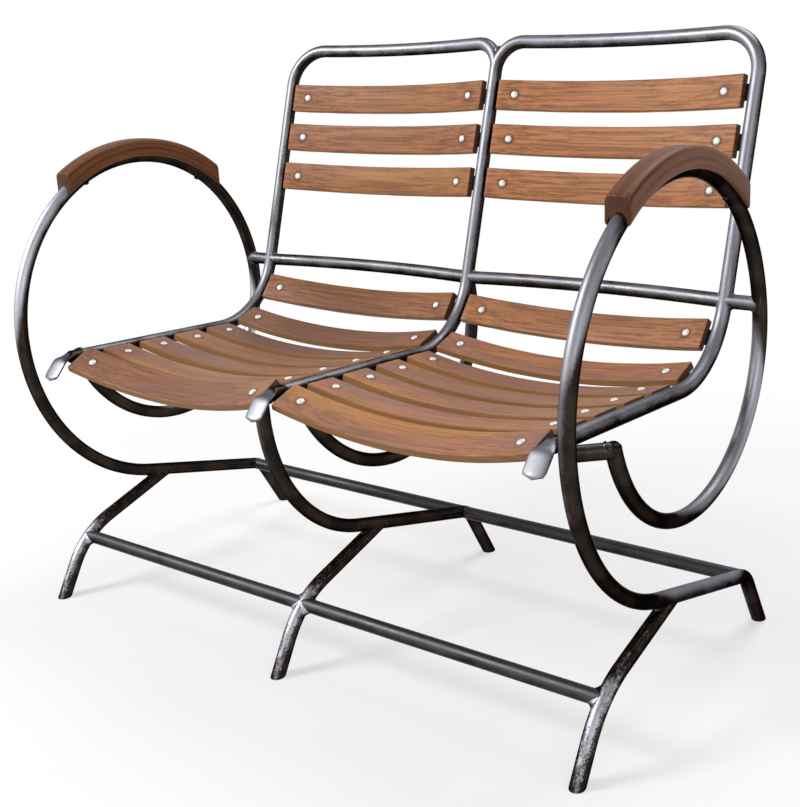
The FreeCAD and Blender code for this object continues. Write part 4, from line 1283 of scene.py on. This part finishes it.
def armrest_loop():
    """An armrest's section with its groove, as pairs across the arm and out from the tube's middle."""
    arm = sizes("armrest")
    half, high, radius, small = arm.width / 2, arm.height, arm.edge_radius, 0.003
    quarter, lower_steps, upper_steps, flat_steps, groove_steps = math.pi / 2, 3, 5, 6, 12
    loop = arc((half - small, small), small, -quarter, quarter, lower_steps)
    loop += arc((half - radius, high - radius), radius, 0, quarter, upper_steps)
    loop += [(half - radius - (half - radius) * 2 * step / flat_steps, high) for step in range(1, flat_steps)]
    loop += arc((radius - half, high - radius), radius, quarter, quarter, upper_steps)
    loop += arc((small - half, small), small, math.pi, quarter, lower_steps)
    return loop + arc((0, 0), sizes("tube").diameter / 2 + GROOVE_PLAY, math.pi, -math.pi, groove_steps)


def armrest_piece(side, x):
    """A board bent over the hoop, its two ends cut upright."""
    arm, hoop = sizes("armrest"), sizes("hoop")
    centre = top_arc_centre(x)
    loop = armrest_loop()
    groove_reach, floor_level = sizes("tube").diameter / 2 + 0.001, 0.001
    half_width, half_height, steps, soft = arm.width / 2, arm.height / 2, 56, 0.0018
    wave_height, wave_along, wave_across = 0.0005, 4, 30
    rings, coordinates = [], []
    for share, inset in end_stations(0.0, 1.0, steps, (soft / (arm.rear_end - arm.front_end), soft)):
        ring = []
        for u, v in loop:
            if math.hypot(u, v) > groove_reach:
                u *= (half_width - inset) / half_width
                if v >= floor_level:
                    v = half_height + (v - half_height) * (half_height - inset) / half_height
            else:
                opening = arm.groove_opening * (1 - smooth(min(share, 1 - share) / arm.groove_opening_run))
                u, v = u * (1 + opening), v * (1 + opening)
            radius = hoop.top_radius + v
            rear = math.acos((arm.rear_end - centre.y) / radius)
            front = math.acos((arm.front_end - centre.y) / radius)
            turn = rear + (front - rear) * share
            sample = Vector((turn * wave_along + x, u * wave_across, v * wave_across))
            wave = wave_height * noise.noise(sample)
            ring.append(centre + X_AXIS * (u + math.copysign(wave, u)) + heading(turn) * (radius + wave))
            coordinates.append((turn * hoop.top_radius, u, v))
        rings.append(ring)
    piece = mesh_piece(f"{side}_armrest_oak", *closed_shape(rings), armrest_oak(), coordinates)
    return finish_piece(piece, "seat_unit", "armrest_wood", f"{side}_armrest")


def armrest_screw_piece(side, x):
    """Two round-headed screws under an armrest, against the hoop's tube."""
    arm, hoop = sizes("armrest"), sizes("hoop")
    centre, radius = top_arc_centre(x), arm.screw_head / 2
    dome = ((0.9, -0.0012), (1, 0.0004), (0.92, 0.0016), (0.62, 0.0027), (0.2, 0.0030))
    profile = [(radius * share, height) for share, height in dome]
    shapes = ([], [])
    under = hoop.top_radius - sizes("tube").diameter / 2
    for place in (arm.rear_screw, arm.front_screw):
        out = heading(place)
        matrix = Matrix((X_AXIS, out.cross(X_AXIS) * -1, -out)).transposed().to_4x4()
        matrix.translation = centre + out * under
        add_shape(*shapes, lathe(profile, matrix))
    piece = mesh_piece(f"{side}_screw_heads", *shapes, dark_metal("screw"))
    return finish_piece(piece, "seat_unit", "screw_steel", f"{side}_armrest_screws")


def paddle_planes():
    """Lower faces of the neck and of the blade of the middle paddle, as points and normals."""
    seat = sizes("seat")
    planes = []
    route = paddle_route(0).reverse()
    for corner in (1, 2):
        index = route.corners[corner]
        point, direction = route.points[index], route.directions[index]
        out = direction.cross(X_AXIS)
        planes.append((point - out * seat.paddle_thickness / 2, out))
    return planes


def paddle_bead(ring, direction):
    """A small fillet weld round the fitted end of the middle spring, under the middle flat end."""
    size, sunk, hollow, lap = 0.0022, 0.0004, 0.35, 0.3
    centre = sum(ring, Vector()) / len(ring)
    down = direction * -size
    rings = []
    for point in ring:
        outward = (point - centre).normalized()
        corner = point - outward * sunk
        rings.append([corner + down, corner + down * hollow + outward * size * hollow,
                      corner + outward * size, corner - down * lap])
    return bead_piece("weld_middle_front", rings, weld_steel(), "seat_unit")


def crown_web():
    """The weld that fills the bottom of the notch where the two seat frames meet."""
    seat = sizes("seat")
    route = seat_side_route(0)
    up = route.directions[-1]
    back = up.cross(X_AXIS)
    tangent = route.points[-1] + up * (seat.outer_corner - seat.inner_corner)
    rise, levels, points = 0.68, 12, 20
    notch = tangent + up * seat.inner_corner * rise
    half_width, half_height, half_depth = 0.0060, 0.0085, 0.0088
    rings = []
    for step in range(1, levels):
        turn = step / levels * math.pi
        ring = []
        for spin in turns(points):
            across = X_AXIS * (half_width * math.cos(spin)) + back * (half_depth * math.sin(spin))
            ring.append(notch + up * half_height * math.cos(turn) + across * math.sin(turn))
        rings.append(ring)
    vertices, faces = closed_shape(rings)
    piece = mesh_piece("weld_crown", vertices, faces, seat_steel(), [tuple(point) for point in vertices])
    return finish_piece(piece, "seat_unit", "tube_steel")


def blend_spring(piece, route, frame_sizes):
    """Bakes a front spring's placement into its mesh; the place in its front arc where the seats' hinge
    stands is worked out but not used.
    """
    arc_start = route.distances()[route.corners[3]]
    point, direction = route.at(arc_start + frame_sizes.front_radius * frame_sizes.flex_sweep)
    reach = sizes("hoop").flex_half_length
    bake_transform(piece)


class BENCH_OT_side_hoops(bpy.types.Operator):
    """Bends the two side hoops, each of a springy lower tube and a ring that carries the seat"""
    bl_idname = "bench.side_hoops"
    bl_label = "Side hoops"

    def execute(self, context):
        for side, sign in SIDES:
            route = side_hoop_route(sign * sizes("tube").hoop_offset)
            lower, ring = route.part(0, 4), route.part(4)
            piece = tube_piece(f"{side}_hoop_spring", lower, hoop_steel(side), foot=True, open_end=True)
            blend_spring(piece, route, sizes("hoop"))
            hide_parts(f"{side}_hoop_lower")
            section = soft_end_section(ring.distances()[-1])
            piece = tube_piece(f"{side}_hoop_ring", ring, hoop_steel(side), section, open_start=True,
                               lead=lower.distances()[-1])
            finish_piece(piece, "seat_unit", "tube_steel", f"{side}_hoop_upper")
        return {"FINISHED"}


class BENCH_OT_middle_frame(bpy.types.Operator):
    """Bends the middle frame, of a springy front tube and the rear spring under the seat"""
    bl_idname = "bench.middle_frame"
    bl_label = "Middle frame"

    def execute(self, context):
        route = middle_front_route()
        piece = tube_piece("middle_frame_spring", route, middle_steel(), foot=True, planes=paddle_planes())
        blend_spring(piece, route, sizes("middle"))
        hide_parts("middle_frame_lower", "middle_frame_upper")
        end_ring = [vertex.co.copy() for vertex in piece.data.vertices[-RING_POINTS:]]
        paddle_bead(end_ring, route.directions[-1])
        rear = middle_rear_route()
        piece = tube_piece("middle_curl", rear, middle_steel())
        finish_piece(piece, "seat_unit", "tube_steel", "middle_rear_spring")
        weld_piece("weld_middle_curl", rear, True, [seat_frame_route("right")], weld_steel(), "seat_unit")
        return {"FINISHED"}


class BENCH_OT_legs(bpy.types.Operator):
    """Bends the three front legs and welds them under the bottom rails"""
    bl_idname = "bench.legs"
    bl_label = "Front legs"

    def execute(self, context):
        offset = sizes("tube").hoop_offset
        for name, x in (("left", -offset), ("middle", 0), ("right", offset)):
            leg = front_leg_route(x)
            rail = middle_front_route() if name == "middle" else side_hoop_route(x).part(0, 4)
            piece = tube_piece(f"{name}_leg", leg, leg_steel(), foot=True)
            finish_piece(piece, "base", "tube_steel", f"{name}_front_leg")
            weld_piece(f"weld_{name}_leg", leg, True, [rail], dark_weld_steel(), "base")
        return {"FINISHED"}


def stretcher_piece(side, part, x, mains, metal, fillet):
    """A straight tube from a side frame to the middle one, with a weld at each end."""
    place = getattr(sizes("leg"), f"{part}_stretcher")
    route = straight_route((x, *place), (0, *place))
    piece = tube_piece(f"{side}_{part}_stretcher_tube", route, stretcher_steel())
    finish_piece(piece, "base", "tube_steel", f"{side}_{part}_stretcher")
    for end, main in enumerate(mains):
        weld_piece(f"weld_{side}_{part}_stretcher_{end}", route, end == 1, [main], metal, "base", fillet)


class BENCH_OT_stretchers(bpy.types.Operator):
    """Adds the straight stretchers between the legs and between the bottom rails"""
    bl_idname = "bench.stretchers"
    bl_label = "Stretchers"

    def execute(self, context):
        tube = sizes("tube")
        for side, sign in SIDES:
            x = sign * tube.hoop_offset
            legs = front_leg_route(x), front_leg_route(0)
            rails = side_hoop_route(x).part(0, 4), middle_front_route()
            stretcher_piece(side, "front", x, legs, leg_steel(), tube.stretcher_weld_size)
            stretcher_piece(side, "rear", x, rails, dark_weld_steel(), tube.weld_size)
        return {"FINISHED"}


class BENCH_OT_seat_frames(bpy.types.Operator):
    """Bends the two seat frames with their flattened front ends, and joins them at the crown"""
    bl_idname = "bench.seat_frames"
    bl_label = "Seat frames"

    def execute(self, context):
        right, left = seat_frame_route("right"), seat_frame_route("left")
        sections = paddle_section(right.distances()[-1], True), left_seat_section(left)
        for side, route, section in zip(("right", "left"), (right, left), sections):
            piece = tube_piece(f"{side}_seat_tube", route, seat_steel(), section)
            finish_piece(piece, "seat_unit", "tube_steel", f"{side}_seat_frame")
        crown_web()
        return {"FINISHED"}


def rail_piece(node, route, first, last):
    """A straight or bowed tube between two others, with a weld at each end."""
    piece = tube_piece(f"{node}_tube", route, rail_steel())
    finish_piece(piece, "seat_unit", "tube_steel", node)
    for end, mains in (("outer", first), ("inner", last)):
        weld_piece(f"weld_{node}_{end}", route, end == "inner", mains, weld_steel(), "seat_unit")


class BENCH_OT_rails(bpy.types.Operator):
    """Adds the bowed rear rails, their stubs to the hoops, and the links under the seat front"""
    bl_idname = "bench.rails"
    bl_label = "Rails and links"

    def execute(self, context):
        seat, tube = sizes("seat"), sizes("tube")
        seats = {side: seat_frame_route(side) for side, sign in SIDES}
        for side, sign in SIDES:
            seat_x, hoop_x = sign * tube.seat_offset, sign * tube.hoop_offset
            ring = side_hoop_route(hoop_x).part(4)
            inward = X_AXIS * -sign
            way = inward * math.cos(seat.rail_bow) + Y_AXIS * math.sin(seat.rail_bow)
            rail = Route((seat_x, *seat.rail), way, Z_AXIS)
            radius = tube.seat_offset / 2 / math.sin(seat.rail_bow)
            rail.bend(radius, 2 * seat.rail_bow, Y_AXIS.cross(inward))
            rail_piece(f"{side}_rear_rail", rail, [seats[side]], [seats["right"]])
            stub = straight_route((hoop_x, *seat.rail), (seat_x, *seat.rail))
            rail_piece(f"{side}_rail_stub", stub, [ring], [seats[side]])
            link = straight_route((hoop_x, *seat.link_outer), (seat_x, *seat.link_inner))
            section = soft_end_section(link.distances()[-1])
            piece = tube_piece(f"{side}_seat_link_tube", link, middle_steel(), section)
            finish_piece(piece, "seat_unit", "tube_steel", f"{side}_seat_link")
            weld_piece(f"weld_{side}_seat_link", link, False, [ring], dark_weld_steel(), "seat_unit",
                       tube.link_weld_size)
        return {"FINISHED"}


class BENCH_OT_slats(bpy.types.Operator):
    """Adds the ten bent slats of each seat with their rivets and tabs"""
    bl_idname = "bench.slats"
    bl_label = "Slats, rivets and tabs"

    def execute(self, context):
        for side, sign in SIDES:
            seat_pieces(side, sign)
        return {"FINISHED"}


class BENCH_OT_armrests(bpy.types.Operator):
    """Adds the wooden armrests on the hoops and the screws under them"""
    bl_idname = "bench.armrests"
    bl_label = "Armrests"

    def execute(self, context):
        for side, sign in SIDES:
            x = sign * sizes("tube").hoop_offset
            armrest_piece(side, x)
            armrest_screw_piece(side, x)
        return {"FINISHED"}


def add_floor():
    """A round floor with a raised rim, plain white to the camera away from the bench and its shadow."""
    stage = sizes("stage")
    material, shader, principled = new_material("floor_paint")
    place = shader.node("ShaderNodeNewGeometry").outputs["Position"]
    tone = shader.mix(shader.noise(place, 3.0, 2.0), scaled(stage.floor, 0.99), stage.floor)
    shader.put(principled.inputs["Base Color"], tone)
    principled.inputs["Roughness"].default_value = 0.9
    rays = shader.node("ShaderNodeLightPath").outputs
    seen = shader.add(rays["Is Camera Ray"], rays["Is Glossy Ray"])
    seen = shader.math("ADD", seen, rays["Is Transmission Ray"], clamp=True)
    least_white = 0.58
    away = shader.ramp(shader.vector("LENGTH", place), stage.floor_near, stage.floor_far, least_white, 1.0)
    white = shader.node("ShaderNodeEmission", WHITE, 1.0).outputs[0]
    blend = shader.node("ShaderNodeMixShader", shader.times(seen, away), principled.outputs[0], white)
    shader.put(material.node_tree.nodes["Material Output"].inputs["Surface"], blend.outputs[0])
    flat, rim, rim_steps, points = stage.floor_radius * 0.72, stage.floor_radius * 0.5, 8, 96
    profile = [(0.05, 0), (flat * 0.5, 0), (flat, 0)]
    for step in range(1, rim_steps + 1):
        turn = step / rim_steps * math.pi / 2
        profile.append((flat + (stage.floor_radius - flat) * math.sin(turn), rim * (1 - math.cos(turn))))
    rings = lathe(profile, Matrix.Identity(4), points)
    vertices = [point for ring in rings for point in ring]
    mesh_piece("floor", vertices, bridge(rings) + [tuple(range(points))], material)


def add_lamp(kind, place, size, tint):
    """A soft round lamp that faces the middle of the bench."""
    lamp = bpy.data.lights.new(f"{kind}_lamp", "AREA")
    lamp.shape, lamp.size, lamp.color = "DISK", size, tint
    lamp.energy = getattr(sizes("stage"), f"{kind}_power")
    holder = bpy.data.objects.new(f"{kind}_lamp", lamp)
    bpy.context.collection.objects.link(holder)
    holder.location = place
    holder.rotation_euler = (BENCH_MIDDLE - Vector(place)).to_track_quat("-Z", "Y").to_euler()


def add_world():
    """A dim cool room round the bench, plain white where the camera sees past the floor."""
    world = bpy.data.worlds.new("studio")
    world.use_nodes = True
    shader = Shader(world.node_tree)
    background = world.node_tree.nodes["Background"]
    seen = shader.node("ShaderNodeLightPath").outputs["Is Camera Ray"]
    room_tint, room_light = (0.90, 0.93, 1.0), 0.28
    shader.put(background.inputs["Color"], shader.mix(seen, room_tint, WHITE))
    shader.put(background.inputs["Strength"], shader.ramp(seen, 0.0, 1.0, room_light, 1.0))
    bpy.context.scene.world = world


def add_camera():
    stage = sizes("stage")
    camera = bpy.data.cameras.new("photo_camera")
    camera.sensor_width, camera.sensor_fit = 36.0, "HORIZONTAL"
    camera.lens = stage.camera_lens
    camera.shift_x, camera.shift_y = stage.camera_shift
    holder = bpy.data.objects.new("photo_camera", camera)
    bpy.context.collection.objects.link(holder)
    turn = Matrix.Rotation(stage.camera_yaw, 4, "Z")
    turn = turn @ Matrix.Rotation(math.pi / 2 - stage.camera_pitch, 4, "X")
    turn = turn @ Matrix.Rotation(stage.camera_roll, 4, "Z")
    holder.matrix_world = Matrix.Translation(stage.camera_place) @ turn
    bpy.context.scene.camera = holder


class BENCH_OT_stage(bpy.types.Operator):
    """Adds the plain pale floor, the soft lamps and the camera"""
    bl_idname = "bench.stage"
    bl_label = "Stage"

    def execute(self, context):
        add_floor()
        add_lamp("key", place=(-2.3, -2.4, 2.9), size=1.5, tint=(1.0, 0.99, 0.98))
        add_lamp("fill", place=(2.6, -2.2, 1.9), size=2.2, tint=(0.97, 0.98, 1.0))
        add_lamp("top", place=(0.4, 1.6, 3.2), size=2.0, tint=WHITE)
        add_world()
        add_camera()
        bpy.context.scene.view_settings.view_transform = "Standard"
        return {"FINISHED"}


OPERATORS = (BENCH_OT_side_hoops, BENCH_OT_middle_frame, BENCH_OT_legs, BENCH_OT_stretchers,
             BENCH_OT_seat_frames, BENCH_OT_rails, BENCH_OT_slats, BENCH_OT_armrests, BENCH_OT_stage)


class BENCH_PT_panel(bpy.types.Panel):
    """Lists the steps that build the bench"""
    bl_idname = "BENCH_PT_panel"
    bl_label = "Glider Bench"
    bl_space_type = "VIEW_3D"
    bl_region_type = "UI"
    bl_category = "Glider Bench"

    def draw(self, context):
        for operator in OPERATORS:
            self.layout.operator(operator.bl_idname)


def register():
    for name, group in SIZE_GROUPS.items():
        bpy.utils.register_class(group)
        setattr(bpy.types.Scene, name, bpy.props.PointerProperty(type=group))
    for item in (*OPERATORS, BENCH_PT_panel):
        bpy.utils.register_class(item)


def unregister():
    for item in reversed((*OPERATORS, BENCH_PT_panel)):
        bpy.utils.unregister_class(item)
    for name, group in reversed(SIZE_GROUPS.items()):
        delattr(bpy.types.Scene, name)
        bpy.utils.unregister_class(group)


def main():
    register()
    for operator in OPERATORS:
        step = operator.bl_idname.split(".")[1]
        getattr(bpy.ops.bench, step)()
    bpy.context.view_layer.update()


if __name__ == "__main__":
    main()
